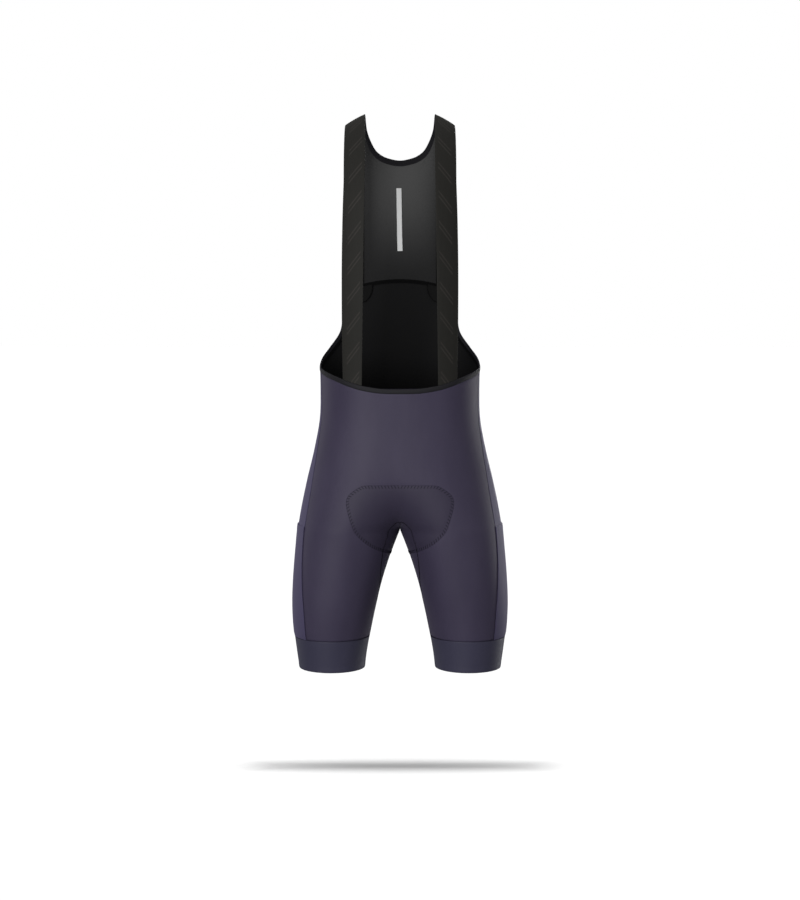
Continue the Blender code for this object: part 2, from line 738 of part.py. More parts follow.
def main():
    """Builds every piece in an empty scene."""
    global garment, shoulders
    for item in list(bpy.data.objects):
        bpy.data.objects.remove(item)
    garment = bpy.data.collections.new("cycling_bib_shorts")
    bpy.context.scene.collection.children.link(garment)
    shoulders = bpy.data.objects.new("shoulders", None)
    garment.objects.link(shoulders)
    add_shorts()
    add_waist_binding()
    add_lower_back()
    add_neck_binding()
    add_upper_back()
    add_straps()
    add_back_tabs()
    add_loop_label()
    add_seat_pad()


main()
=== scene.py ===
"""Cycling bib shorts, dressed: every piece of cloth, its seams and stitches, and its materials.

Units are metres and +Z is up. The front faces -Y, and +X is the wearer's left. Every piece lies on one
figure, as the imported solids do. A place on it is an angle and a height. The angle is 0 on the side line,
-90 degrees at the centre front, 90 at the centre back and 180 at the inner leg.
"""

import functools
import math

import bmesh
import bpy
import numpy as np
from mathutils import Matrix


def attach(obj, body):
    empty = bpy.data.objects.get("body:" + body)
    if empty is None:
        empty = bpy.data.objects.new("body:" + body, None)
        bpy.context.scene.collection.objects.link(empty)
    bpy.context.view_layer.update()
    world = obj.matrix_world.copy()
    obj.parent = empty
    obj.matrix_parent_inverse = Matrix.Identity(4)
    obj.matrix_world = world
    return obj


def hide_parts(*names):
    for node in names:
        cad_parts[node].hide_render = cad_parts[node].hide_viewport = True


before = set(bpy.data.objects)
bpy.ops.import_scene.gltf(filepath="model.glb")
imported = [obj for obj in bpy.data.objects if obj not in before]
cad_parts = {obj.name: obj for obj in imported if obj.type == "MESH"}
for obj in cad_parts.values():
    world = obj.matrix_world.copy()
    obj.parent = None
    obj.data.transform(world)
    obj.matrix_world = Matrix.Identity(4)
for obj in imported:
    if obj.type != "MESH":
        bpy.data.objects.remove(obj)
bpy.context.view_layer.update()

# ---------------- sizes that the solids also have
GAP = 0.0003  # between neighbouring pieces
HALF_GAP = GAP / 2
KNIT, MESH_KNIT, ELASTIC, BINDING = 0.0014, 0.0012, 0.0018, 0.0022  # thickness of each cloth
GRIPPER, POCKET, LABEL = 0.0020, 0.0010, 0.0010
PROUD = 0.0004  # the bindings and grippers stand out this far
FORK, CROTCH_RISE = -0.713, 0.150  # where the legs part, and how far up the pinch between them fades out
CREASE = 0.0018
PANEL_TIP = -0.693  # top of the inner leg panel
BLOCK_TOP = -0.555  # below this the rows of the panels are level
GRIPPER_TOP, HEM = -0.901, -0.958
CAP = -0.200  # above this the figure is the rounded shoulder
STRAP_LINE, SHOULDER_SLOPE = 0.078, 3.6
BINDING_WIDTH = 0.0080
CORNER_CLEARANCE = 0.0012
SEAT_SEAM = -0.462
ARCH = (-0.278, 1.9)  # height of the arched seam at the centre, and how fast it falls
PAD_MIDDLE, PAD_EDGE = 0.0060, 0.0022  # thickness of the pad
PAD_SEAT = 0.0018  # between the pad and the knit
LAYER = 0.0006
LABEL_LEAN = -0.0020  # its top lies this far to the wearer's right
LABEL_WIDTH = 0.0090
LABEL_TOP, LABEL_BOTTOM = -0.1430, -0.2240
TAB_DROP, TAB_DEPTH = 0.0012, 0.0300
TAB_INNER, TAB_OUTER = 0.0490, 0.0930
TAB_ROUNDING = 0.0130

SECTIONS = (
    # height   side    gap     front   back    flat
    (-0.200, 0.1500, 0.0000, 0.1250, 0.1180, 0.060),
    (-0.290, 0.1480, 0.0000, 0.1180, 0.1120, 0.060),
    (-0.360, 0.1440, 0.0000, 0.1100, 0.1010, 0.059),
    (-0.420, 0.1402, 0.0000, 0.1030, 0.0960, 0.057),
    (-0.470, 0.1390, 0.0000, 0.0985, 0.0990, 0.055),
    (-0.515, 0.1402, 0.0000, 0.0980, 0.1070, 0.053),
    (-0.570, 0.1498, 0.0000, 0.1010, 0.1175, 0.051),
    (-0.627, 0.1634, 0.0000, 0.1045, 0.1240, 0.050),
    (-0.684, 0.1751, 0.0000, 0.1036, 0.1222, 0.050),
    (-0.713, 0.1797, 0.0000, 0.1014, 0.1172, 0.050),
    (-0.740, 0.1824, 0.0106, 0.0986, 0.1105, 0.050),
    (-0.769, 0.1851, 0.0208, 0.0956, 0.1030, 0.050),
    (-0.797, 0.1872, 0.0296, 0.0925, 0.0956, 0.050),
    (-0.840, 0.1890, 0.0406, 0.0870, 0.0870, 0.050),
    (-0.883, 0.1874, 0.0497, 0.0795, 0.0785, 0.050),
    (-0.926, 0.1823, 0.0580, 0.0715, 0.0695, 0.050),
    (-0.960, 0.1775, 0.0625, 0.0655, 0.0625, 0.050),
)
FREE_EDGE = (
    # angle    height
    (54.0, -0.2980),
    (52.5, -0.3350),
    (48.5, -0.3690),
    (33.0, -0.3955),
    (14.0, -0.4145),
    (0.0, -0.4260),
    (-20.0, -0.4325),
    (-44.0, -0.4425),
    (-62.0, -0.4525),
    (-74.0, -0.4585),
    (-90.0, -0.4630),
    (-106.0, -0.4585),
)
SIDE_SEAMS = (
    # height  front  back
    (-0.425, 12.0, 10.0),
    (-0.560, 18.5, 18.0),
    (-0.655, 28.5, 25.4),
    (-0.693, 31.0, 28.0),
    (-0.749, 34.0, 30.8),
    (-0.800, 39.5, 33.0),
    (-0.850, 46.0, 33.6),
    (-0.901, 49.0, 34.0),
)
INNER_SEAMS = (
    # height  front  back
    (-0.693, 41.0, 41.0),
    (-0.713, 38.5, 43.0),
    (-0.735, 38.0, 44.0),
    (-0.757, 34.0, 43.0),
    (-0.778, 28.0, 41.0),
    (-0.800, 19.0, 38.0),
    (-0.825, 8.0, 34.0),
    (-0.850, 1.0, 31.0),
    (-0.901, -2.0, 30.0),
)
STRAP_FRONT = (
    # station  inner   outer
    (-0.470, 0.0655, 0.0980),
    (-0.340, 0.0635, 0.0992),
    (-0.200, 0.0610, 0.0978),
    (-0.100, 0.0592, 0.0940),
    (-0.040, 0.0605, 0.0940),
    (0.000, 0.0632, 0.0955),
)
STRAP_BACK = (
    # station  inner   outer
    (-0.300, 0.0665, 0.1015),
    (-0.200, 0.0665, 0.1015),
    (-0.100, 0.0660, 0.1000),
    (-0.040, 0.0648, 0.0975),
    (0.000, 0.0632, 0.0955),
)
SCOOP = (
    # across  station  width
    (0.0000, -0.1100, 0.0090),
    (0.0226, -0.1065, 0.0088),
    (0.0362, -0.1005, 0.0082),
    (0.0445, -0.0930, 0.0074),
    (0.0513, -0.0810, 0.0062),
    (0.0563, -0.0670, 0.0050),
    (0.0590, -0.0520, 0.0042),
    (0.0602, -0.0260, 0.0032),
    (0.0606, 0.0000, 0.0024),
)
PAD = (
    # middle   edge    edge height
    (-79.5, -98.9, -0.6270),
    (-74.0, -107.0, -0.6480),
    (-67.0, -100.5, -0.6720),
    (-58.0, -88.5, -0.6985),
    (-47.0, -72.5, -0.7215),
    (-34.0, -57.0, -0.7355),
    (-19.0, -37.0, -0.7460),
    (0.0, 0.0, -0.7560),
    (19.0, 38.0, -0.7480),
    (36.0, 62.0, -0.7330),
    (52.0, 84.0, -0.7060),
    (64.0, 99.0, -0.6720),
    (73.0, 107.0, -0.6400),
    (80.0, 105.0, -0.6120),
    (85.0, 98.0, -0.5940),
)

# ---------------- sizes of the finish
STEP, FINE_STEP = 0.0030, 0.0016  # between points of a panel, and of a gripper
FRONT_WIDTH, SIDE_WIDTH, INNER_WIDTH, BACK_WIDTH = 0.180, 0.085, 0.110, 0.140  # rough sizes, which set
BACK_HEIGHT, MESH_HEIGHT = 0.160, 0.200  # how many points a panel has
TURN_STEPS = np.array([0, 0.0006, 0.0013, 0.0022, 0.0034])  # points close to a seam, from its edge
ON_MIDDLE = 1e-6  # a point nearer than this to the middle plane lies in it
SHADED_APART = math.radians(42)  # faces that meet more sharply show an edge
ROUNDED_FROM = math.radians(50)  # and edges sharper than this are rounded
SEAM_DEPTH, SEAM_REACH = 0.00040, 0.0012  # the cloth dips this far into a seam, over this width
PUCKER, PUCKER_PITCH, PUCKER_REACH = 0.00009, 0.0085, 0.0050  # small gathers that a seam leaves
PAD_RAISE, PAD_SHOULDER = 0.0004, 0.0070  # the pad lifts the cloth over it, over this width
PAD_GROOVE, PAD_GROOVE_REACH = 0.0004, 0.0018  # its stitches draw the cloth in
PAD_TONE_AND_SHADE = 0.22  # share by which the knit deepens over the pad: partly the dark pad behind it, partly painted shade
PAD_ROUNDING = 0.0055  # how softly the pad's outline turns its corners
PAD_CHANNELS = ((0.30, 0.035), (0.66, 0.03))  # place and width, as shares of the way to the pad's edge
PAD_CHANNEL_DEPTH, PAD_THINNEST = 0.0016, 0.0012
POCKET_MOUTH = -0.7035
BULGE, BULGE_REACH = 0.0004, 0.030  # the pocket's mouth stands out this far
HELD_REACH = 0.012  # its side seams hold the mouth down over this width
MOUTH_FOLD, MOUTH_FOLD_DEPTH = 0.0004, 0.009  # and it is folded double this deep
HEM_FOLD, HEM_RISE = 0.0003, 0.004  # the gripper's hem is thickest this far up
CROWN = 0.0003  # rounding of the waist binding
SELVEDGE = 0.0003  # the strap's edges are thinner by this
STRAP_MIDDLE = 0.0165  # from the strap's inner edge
TAB_ROW = 0.97  # the stitches lie this far down a tab
LABEL_SLACK = 0.0002
MESH_PAINTED_LIGHT_HEIGHTS = (-0.285, -0.070)  # heights over which painted light on the mesh rises from none to full, and the painted light is brightest this far from the centre
MESH_PAINTED_LIGHT_CENTRE = 0.008  # it is stretched most this far from the centre
BACK_PAINTED_SHADE_HEIGHTS = (-0.455, -0.300)  # heights over which painted shade darkens the back's knit towards the waist
TAPE = 0.0003  # wall of the tape behind a seam
TAPE_DEPTH = KNIT + SEAM_DEPTH + 0.0001  # and how far in its outer face lies


# ---------------- smooth tables
class Smooth:
    """A smooth line through the rows of a table, whose first column is the place along it."""

    def __init__(self, rows):
        rows = np.array(sorted(rows), float)
        self.at, self.values = rows[:, 0], rows[:, 1:]
        self.slopes = np.gradient(self.values, self.at, axis=0)

    def __call__(self, place):
        place = np.clip(np.asarray(place, float), self.at[0], self.at[-1])
        i = np.clip(np.searchsorted(self.at, place, side="right") - 1, 0, len(self.at) - 2)
        step = self.at[i + 1] - self.at[i]
        t = ((place - self.at[i]) / step)[..., None]
        step = step[..., None]
        ends = self.values[i] * (1 + 2 * t) * (1 - t) ** 2 + self.values[i + 1] * t * t * (3 - 2 * t)
        turns = self.slopes[i] * t * (1 - t) ** 2 - self.slopes[i + 1] * t * t * (1 - t)
        return np.moveaxis(ends + step * turns, -1, 0)


section_table = Smooth(SECTIONS)
gap_table = Smooth([(row[0], row[2]) for row in SECTIONS if row[0] <= FORK])
side_seams = Smooth(SIDE_SEAMS)
inner_seams = Smooth(INNER_SEAMS)
strap_front = Smooth(STRAP_FRONT)
strap_back = Smooth(STRAP_BACK)
free_edge = Smooth([(i, *row) for i, row in enumerate(FREE_EDGE)])
scoop = Smooth([(-1, -SCOOP[1][0], *SCOOP[1][1:])] + [(i, *row) for i, row in enumerate(SCOOP)])
pad_outline = Smooth([(i, *row) for i, row in enumerate(PAD)])


# ---------------- the figure
def fork_share(rise):
    """How far a section is pinched at its middle: 1 where the legs part and 0 a crotch rise above."""
    narrow = 1.2 * rise * np.exp(-((rise / 0.07) ** 2))  # keeps the fork narrow just above the parting
    return (1 - rise) ** 2 + narrow


def section(height):
    """(base, width, fork share, flat, front, back) of the level section at a height."""
    side, _, front, back, flat = section_table(height)
    rise = np.clip((height - FORK) / CROTCH_RISE, 0, 1)
    fork = fork_share(rise)
    flat = CREASE + (flat - CREASE) * (1 - fork) ** 1.3
    gap = np.where(height < FORK, gap_table(np.minimum(height, FORK))[0], 0)
    base = np.hypot(gap, flat)
    width = (np.hypot(side, flat) - base) / (1 + fork)
    return base, width, fork, flat, front, back


def lean(x, height):
    """Cosine of the angle at which the section reaches the distance x from the centre."""
    base, width, fork, flat, _, _ = section(height)
    return (np.hypot(x, flat) - base) / width - fork


def skin(angle, height):
    """Points and outward normals of the figure below the shoulders."""
    angle, height = np.broadcast_arrays(np.asarray(angle, float), np.asarray(height, float))
    base, width, fork, flat, front, back = section(height)
    turn = np.maximum(np.cos(angle), -fork)
    reach = base + width * (turn + fork)
    x = np.sqrt(np.maximum(reach**2 - flat**2, 0))
    ahead = np.sin(angle) < 0
    depth = np.where(ahead, front, back)
    y = depth * np.sign(np.sin(angle)) * np.sqrt(1 - turn**2)
    step = 1e-4
    low, high = section(height - step), section(height + step)
    slope_y = np.where(ahead, high[4] - low[4], high[5] - low[5]) / (2 * step)
    slope_lean = (lean(x, height + step) - lean(x, height - step)) / (2 * step)
    out = turn * x / (np.hypot(x, flat) * width)
    up = turn * slope_lean - y**2 * slope_y / depth**3
    return np.stack([x, y, height], -1), unit(np.stack([out, y / depth**2, up], -1))


def unit(vectors):
    return vectors / np.linalg.norm(vectors, axis=-1, keepdims=True)


def lengths(line):
    """How far along a line of points each one lies."""
    steps = np.linalg.norm(np.diff(line, axis=0), axis=1)
    return np.concatenate([[0], np.cumsum(steps)])


def resampled(at, length, line):
    """A line of points or other values, read at other places along it."""
    return np.stack([np.interp(at, length, values) for values in np.transpose(line)], -1)


def shoulder(x, station, front):
    """Points and outward normals of the rounded top. Station runs from CAP to 0 at the very top."""
    x, station = np.broadcast_arrays(np.asarray(x, float), np.asarray(station, float))
    _, width, _, flat, depth_front, depth_back = section(np.full(x.shape, CAP))
    sign = -1 if front else 1
    depth = depth_front if front else depth_back
    turn = (np.hypot(x, flat) - flat) / width
    bulge = np.sqrt(1 - turn**2)
    bulge_slope = -turn * x / (np.hypot(x, flat) * width * bulge)
    angle = (station - CAP) / -CAP * math.pi / 2
    fall = SHOULDER_SLOPE * np.sin(angle) ** 3
    fall_slope = 3 * SHOULDER_SLOPE * np.sin(angle) ** 2 * np.cos(angle)
    out = x**2 - STRAP_LINE**2
    y = sign * depth * np.cos(angle) * bulge
    z = CAP - CAP * np.sin(angle) - fall * out
    across = np.stack([1 + 0 * x, sign * depth * np.cos(angle) * bulge_slope, -2 * fall * x], -1)
    climb = -CAP * np.cos(angle) - fall_slope * out
    along = np.stack([0 * x, -sign * depth * np.sin(angle) * bulge, climb], -1)
    return np.stack([x, y, z], -1), unit(np.cross(across, along) * -sign)


def figure(x, station, front):
    """Points and normals at a distance from the centre. Station is the height up to CAP."""
    x, station = np.broadcast_arrays(np.asarray(x, float), np.asarray(station, float))
    low = np.minimum(station, CAP)
    angle = np.arccos(np.clip(lean(x, low), -1, 1)) * (-1 if front else 1)
    below, above = skin(angle, low), shoulder(x, np.maximum(station, CAP), front)
    high = (station > CAP)[..., None]
    return tuple(np.where(high, above[i], below[i]) for i in (0, 1))


def angle_of(point):
    """Angle on the figure of a point near it."""
    x, y, z = np.moveaxis(point, -1, 0)
    _, _, _, _, front, back = section(z)
    return np.arctan2(y / np.where(y < 0, front, back), lean(x, z))


def centre_angle(height):
    """Angle at which the section meets the middle plane."""
    return np.arccos(-section(np.asarray(height, float))[2])


def crotch(inner_angle):
    """Height of the crotch line at an angle from the inner leg line."""
    rise = np.linspace(0, 1, 2001)
    return FORK + CROTCH_RISE * np.interp(-np.cos(inner_angle), -fork_share(rise), rise)


def evenly(angles, heights, share):
    """Angles and heights at shares of the way over the figure, from a first place to a second."""
    trial = np.linspace(0, 1, 201) ** 2
    line = [start + (end - start) * trial for start, end in (angles, heights)]
    length = lengths(skin(*line)[0])
    return [np.interp(share * length[-1], length, values) for values in line]


def shift(angle, height, distance):
    """The angle a small distance further round the figure."""
    step = 1e-3
    reach = skin(angle + step, height)[0] - skin(angle - step, height)[0]
    return angle + distance * 2 * step / np.linalg.norm(reach, axis=-1)


@functools.cache
def edge_line(distance):
    """Angles, heights and distances from the centre of a line that lies inside the free edge."""
    angle, height = free_edge(np.linspace(0, len(FREE_EDGE) - 2, 401))
    point, normal = skin(np.radians(angle), height)
    inward = unit(np.cross(normal, np.gradient(point, axis=0)))
    inward[-1, 0] = 0
    moved = point + distance * inward
    return angle_of(moved), moved[:, 2], moved[:, 0]


CORNER_ANGLE = math.radians(SIDE_SEAMS[0][2])  # where the seat seam meets the side panel


def panel_top(angle):
    """Height of the upper seam of the front, side and seat panels."""
    edge_angle, edge_height, _ = edge_line(BINDING_WIDTH + GAP)
    under_binding = np.interp(-angle, -edge_angle, edge_height)
    share = np.clip((angle - CORNER_ANGLE) / (math.pi / 2 - CORNER_ANGLE), 0, 1)
    corner = np.interp(-CORNER_ANGLE, -edge_angle, edge_height)
    seat = SEAT_SEAM + (corner - SEAT_SEAM) * (1 - share) ** 2
    return np.where(angle > CORNER_ANGLE, seat, under_binding)


def arch(x):
    """Height of the arched seam across the back."""
    return ARCH[0] - ARCH[1] * x**2


def places(length, step, first=True, last=True):
    """Shares of a length, evenly but closer together at the ends that turn into a seam."""
    start = TURN_STEPS if first else TURN_STEPS[:1]
    end = length - (TURN_STEPS if last else TURN_STEPS[:1])[::-1]
    middle = np.linspace(start[-1], end[0], max(2, round((end[0] - start[-1]) / step) + 1))
    return np.concatenate([start[:-1], middle, end[1:]]) / length


# ---------------- rows of the panels
# A row's drop runs from 0 at the upper seam to 1 at BLOCK_TOP, and then grows by 1 for each metre down.
TIP_DROP = 1 + BLOCK_TOP - PANEL_TIP
LAST_DROP = 1 + BLOCK_TOP - (GRIPPER_TOP + HALF_GAP)
UPPER_LENGTH = 0.100
DROPS = np.concatenate(
    [
        places(UPPER_LENGTH, STEP, last=False)[:-1],
        1 + (TIP_DROP - 1) * places(TIP_DROP - 1, STEP, first=False, last=False)[:-1],
        TIP_DROP + (LAST_DROP - TIP_DROP) * places(LAST_DROP - TIP_DROP, STEP),
    ]
)


def row_heights(angle, drop):
    """Heights of a panel's row: level low down, and following the upper seam near the waist."""
    if drop >= 1:
        return np.full_like(angle, BLOCK_TOP + 1 - drop)
    top = panel_top(angle)
    return top + (BLOCK_TOP - top) * drop


def seam_height(drop):
    """One height for each row, at which the seams' angles are read."""
    return float(row_heights(np.array([0.0]), drop)[0])


def half_angles(front, drop, share):
    """Angles along a row of the front or the seat panel, from the middle or inner seam outwards."""
    sign = -1 if front else 1
    height = seam_height(drop)
    side = shift(math.radians(side_seams(height)[0 if front else 1]), height, HALF_GAP)
    if drop <= TIP_DROP:
        height = row_heights(np.array([sign * math.pi / 2]), drop)[0]
        inner = centre_angle(height)
    else:
        seam = math.radians(inner_seams(height)[0 if front else 1])
        inner = shift(math.pi - seam, height, -HALF_GAP)
    return evenly((sign * inner, sign * side), (height, height), share)[0]


def half_panel(front):
    """Angles and heights of half of the front or the seat panel."""
    share = places(FRONT_WIDTH, STEP)
    angles = np.array([half_angles(front, drop, share) for drop in DROPS])
    upright = np.clip(angles, -math.pi / 2, math.pi / 2)
    heights = np.array([row_heights(line, drop) for line, drop in zip(upright, DROPS)])
    if not front:
        heights[0] -= HALF_GAP
    return angles, heights


def side_grid(drops):
    """Angles and heights of the side panel, row by row."""
    angles, heights = [], []
    for drop in drops:
        height = seam_height(drop)
        front, back = np.radians(side_seams(height))
        start, end = shift(-front, height, HALF_GAP), shift(back, height, -HALF_GAP)
        angles.append(start + (end - start) * places(SIDE_WIDTH, STEP))
        heights.append(row_heights(angles[-1], drop))
    return np.array(angles), np.array(heights)


def inner_grid():
    """Angles and heights of the inner leg panel, hung from the crotch line."""
    tip = PANEL_TIP - 0.0012
    last = GRIPPER_TOP + HALF_GAP
    tip_angle = math.pi - centre_angle(tip)
    share = places(INNER_WIDTH, STEP)
    top_angle = (2 * share - 1) * tip_angle
    top = crotch(top_angle)
    angles, heights = [top_angle], [top]
    for down in places(tip - last, STEP)[1:]:
        level = tip + (last - tip) * down
        front, back = np.radians(inner_seams(level))
        ends = -shift(front, level, -HALF_GAP), shift(back, level, -HALF_GAP)
        angles.append(ends[0] + (ends[1] - ends[0]) * share)
        heights.append(top + (last - top) * down)
    return math.pi - np.array(angles), np.array(heights)


# ---------------- seam lines
def crotch_line(beyond=0.0):
    """The seam between the two inner leg panels, or a line that runs on past its tips by an angle."""
    tip_angle = math.pi - centre_angle(PANEL_TIP) + beyond
    angle = np.linspace(-tip_angle, tip_angle, 60)
    points, normals = skin(math.pi - angle, crotch(angle))
    points[:, 0] = 0
    normals[:, 0] = 0
    return points, unit(normals)


def side_line(front):
    """The seam between the side panel and the front or the seat panel."""
    drops = np.linspace(0, LAST_DROP, 160)
    heights = np.array([seam_height(drop) for drop in drops])
    angles = np.radians(side_seams(heights)[0 if front else 1]) * (-1 if front else 1)
    levels = [row_heights(np.array([a]), drop)[0] for a, drop in zip(angles, drops)]
    return skin(angles, np.array(levels))


def inner_line(front):
    """The seam between the inner leg panel and the front or the seat panel."""
    heights = np.linspace(PANEL_TIP, GRIPPER_TOP, 90)
    seam = math.pi - np.radians(inner_seams(heights)[0 if front else 1])
    return skin(-seam if front else seam, heights)


def waist_line():
    """The seam between the waist binding and everything below it."""
    angle, height, _ = edge_line(BINDING_WIDTH + HALF_GAP)
    points, normals = skin(angle, height)
    points[-1, 0] = normals[-1, 0] = 0
    return points, normals


def seat_line():
    """The curved seam between the seat panel and the lower back."""
    angle = np.linspace(CORNER_ANGLE + 1e-5, math.pi / 2, 80)
    return skin(angle, panel_top(angle))


def arch_line():
    """The arched seam, from the centre to the outside of the strap."""
    x = np.linspace(0, STRAP_BACK[1][2], 70)
    return figure(x, arch(x), False)


@functools.cache
def pad_line(step=0.001):
    """Points and normals of the pad's stitched outline, from the centre front to the centre back."""
    middle, edge, height = pad_outline(np.linspace(0, len(PAD) - 1, 240))
    edge_angle = math.pi - np.radians(edge)
    ends = []
    for i in (0, -1):
        start = (math.pi - math.radians(middle[i]), edge_angle[i])
        levels = (crotch(math.radians(middle[i])), height[i])
        ends.append(evenly(start, levels, np.linspace(0, 1, 40)))
    angle = np.concatenate([ends[0][0][:-1], edge_angle, ends[1][0][::-1][1:]])
    height = np.concatenate([ends[0][1][:-1], height, ends[1][1][::-1][1:]])
    corners = skin(angle, height)[0]
    corners[[0, -1], 0] = 0
    length = lengths(corners)
    line = resampled(np.linspace(0, length[-1], round(length[-1] / step) + 1), length, corners)
    reach = round(3 * PAD_ROUNDING / step)
    weights = np.exp(-0.5 * (np.arange(-reach, reach + 1) * step / PAD_ROUNDING) ** 2)
    flipped = line * (-1, 1, 1)
    whole = np.concatenate([flipped[1 : reach + 1][::-1], line, flipped[-reach - 1 : -1][::-1]])
    soft = [np.convolve(values, weights / weights.sum(), "valid") for values in whole.T]
    soft = np.stack(soft, -1)
    soft[:, 0] = np.maximum(soft[:, 0], 0)
    points, normals = skin(angle_of(soft), soft[:, 2])
    points[[0, -1], 0] = normals[[0, -1], 0] = 0
    return points, unit(normals)


def from_inner(angles):
    """Angles counted from the inner leg line, ahead of it below 0."""
    turned_back = math.pi - np.abs(angles)
    return np.where(angles < 0, -turned_back, turned_back)


def near(points, line):
    """Distance of each point from a line of points, and how far along it the nearest place lies."""
    flat = points.reshape(-1, 3)
    steps = np.diff(line, axis=0)
    best = np.full(len(flat), np.inf)
    along = np.zeros(len(flat))
    for start, step, length, gone in zip(line, steps, np.linalg.norm(steps, axis=1), lengths(line)):
        if length > 0:
            part = np.clip((flat - start) @ step / length**2, 0, 1)
            gap = np.linalg.norm(flat - start - part[:, None] * step, axis=1)
            closer = gap < best
            best[closer] = gap[closer]
            along[closer] = gone + part[closer] * length
    return best.reshape(points.shape[:-1]), along.reshape(points.shape[:-1])


def turned_in(points, *lines):
    """How far the cloth dips at the seams near each point, with the small gathers beside them."""
    lift = np.zeros(points.shape[:-1])
    for line in lines:
        gap, along = near(points, line[0])
        lift -= SEAM_DEPTH * np.exp(-((gap / SEAM_REACH) ** 2))
        lift += PUCKER * np.sin(along * math.tau / PUCKER_PITCH) * np.exp(-gap / PUCKER_REACH)
    return lift


def over_pad(points):
    """How far the pad lifts each point of the cloth, and the share of the pad that lies behind it."""
    outline = pad_line()[0]
    gap, _ = near(points, outline[::2])
    inner, heights = from_inner(angle_of(points)), points[..., 2]
    turns = from_inner(angle_of(outline))
    corners = [*zip(turns, outline[:, 2]), (turns[-1], 0), (turns[0], 0)]
    inside = np.zeros(heights.shape, bool)
    for (a0, h0), (a1, h1) in zip(corners, corners[1:] + corners[:1]):
        if h0 != h1:
            crosses = (h0 > heights) != (h1 > heights)
            inside ^= crosses & (inner < a0 + (heights - h0) * (a1 - a0) / (h1 - h0))
    behind = np.where(inside, 1 - np.exp(-((gap / PAD_SHOULDER) ** 2)), 0)
    # The groove is shallower near the inner leg line, where the cloth is slack.
    groove = 0.35 + 0.65 * np.clip((np.abs(inner) - 0.5) / 0.45, 0, 1)
    groove = PAD_GROOVE * groove * np.exp(-((gap / PAD_GROOVE_REACH) ** 2))
    return PAD_RAISE * behind - groove, np.where(inside, 1 - np.exp(-gap / 0.0015), 0)


# ---------------- pieces of cloth
def measure(points):
    """How far each point of a grid lies across and down the cloth, in metres."""
    across = np.array([lengths(row) for row in points])
    return across, np.transpose([lengths(column) for column in points.swapaxes(0, 1)])


def level_middle(points, normals):
    """Points and normals in the middle plane lose what rounding left across it."""
    middle = np.abs(points[..., 0]) < ON_MIDDLE
    points[middle, 0] = 0
    normals[middle, 0] = 0
    return points, unit(normals)


def shell(
    name, points, normals, lift, thickness, finish, stands_in=True, side=1, mirrored=False, rounded=0.0,
    chart=None, behind=None, clear=None,
):
    """One piece of cloth: a grid, extruded, and then laid on the figure with its outer and inner face.

    The outer face is lifted off the points and, where clear is given, kept that far from the middle plane.
    The chart is how far each point lies across and down the cloth, and behind is the share of pad behind it.
    """
    points, normals = level_middle(points, normals)
    outer = points + normals * np.asarray(lift)[..., None]
    if clear is not None:
        outer[..., 0] = np.maximum(outer[..., 0], clear)
    inner = outer - normals * np.asarray(thickness)[..., None]
    rows, columns = outer.shape[:2]
    across, down = measure(outer) if chart is None else chart
    shape = bmesh.new()
    chart_layer = shape.loops.layers.uv.new("chart")
    pad_layer = shape.verts.layers.float.new("pad_shade_share")
    bmesh.ops.create_grid(shape, x_segments=columns - 1, y_segments=rows - 1, size=0.5)
    whole = shape.faces[:] + shape.edges[:]
    grown = bmesh.ops.extrude_face_region(shape, geom=whole, use_keep_orig=True)["geom"]
    lower = {vert for vert in grown if isinstance(vert, bmesh.types.BMVert)}
    place = {
        vert: (round((vert.co.y + 0.5) * (rows - 1)), round((vert.co.x + 0.5) * (columns - 1)))
        for vert in shape.verts
    }
    for face in shape.faces:
        for loop in face.loops:
            spot = place[loop.vert]
            loop[chart_layer].uv = (across[spot], down[spot])
    for vert in shape.verts:
        x, y, z = (inner if vert in lower else outer)[place[vert]]
        vert.co = (side * x, y, z)
        if behind is not None:
            vert[pad_layer] = behind[place[vert]]
    middle = [face for face in shape.faces if mirrored and all(v.co.x == 0 for v in face.verts)]
    bmesh.ops.delete(shape, geom=middle, context="FACES")
    bmesh.ops.remove_doubles(shape, verts=shape.verts[:], dist=1e-6)
    # Where the ends of a band meet, the walls between them go.
    walls = [face for face in shape.faces if sum(len(edge.link_faces) > 2 for edge in face.edges) > 1]
    bmesh.ops.delete(shape, geom=walls, context="FACES")
    bmesh.ops.recalc_face_normals(shape, faces=shape.faces[:])
    if shape.calc_volume(signed=True) < 0:
        bmesh.ops.reverse_faces(shape, faces=shape.faces[:])
    mesh = meshed(name, shape, FINISHES[finish])
    mesh.shade_smooth()
    mesh.set_sharp_from_angle(angle=SHADED_APART)
    return dressed(name, mesh, stands_in, mirrored, rounded)


def placed(name, data):
    """A new object in the scene."""
    made = bpy.data.objects.new(name, data)
    bpy.context.scene.collection.objects.link(made)
    return made


def meshed(name, shape, material):
    """A mesh from a bmesh, which is then done with."""
    mesh = bpy.data.meshes.new(name)
    shape.to_mesh(mesh)
    shape.free()
    mesh.materials.append(material)
    return mesh


def dressed(name, mesh, stands_in=False, mirrored=False, rounded=0.0):
    """A piece in its cloth or thread, riding on the frame. It may stand in for the solid of its name."""
    piece = placed(name + "_cloth" if stands_in else name, mesh)
    if mirrored:
        mirror = piece.modifiers.new("other half", "MIRROR")
        mirror.use_axis = (True, False, False)
        mirror.merge_threshold = 0.00001
    if rounded:
        bevel = piece.modifiers.new("rounded edges", "BEVEL")
        bevel.limit_method = "ANGLE"
        bevel.angle_limit = ROUNDED_FROM
        bevel.width = rounded
        bevel.segments = 3
    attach(piece, "root")
    if stands_in:
        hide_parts(name)
    return piece


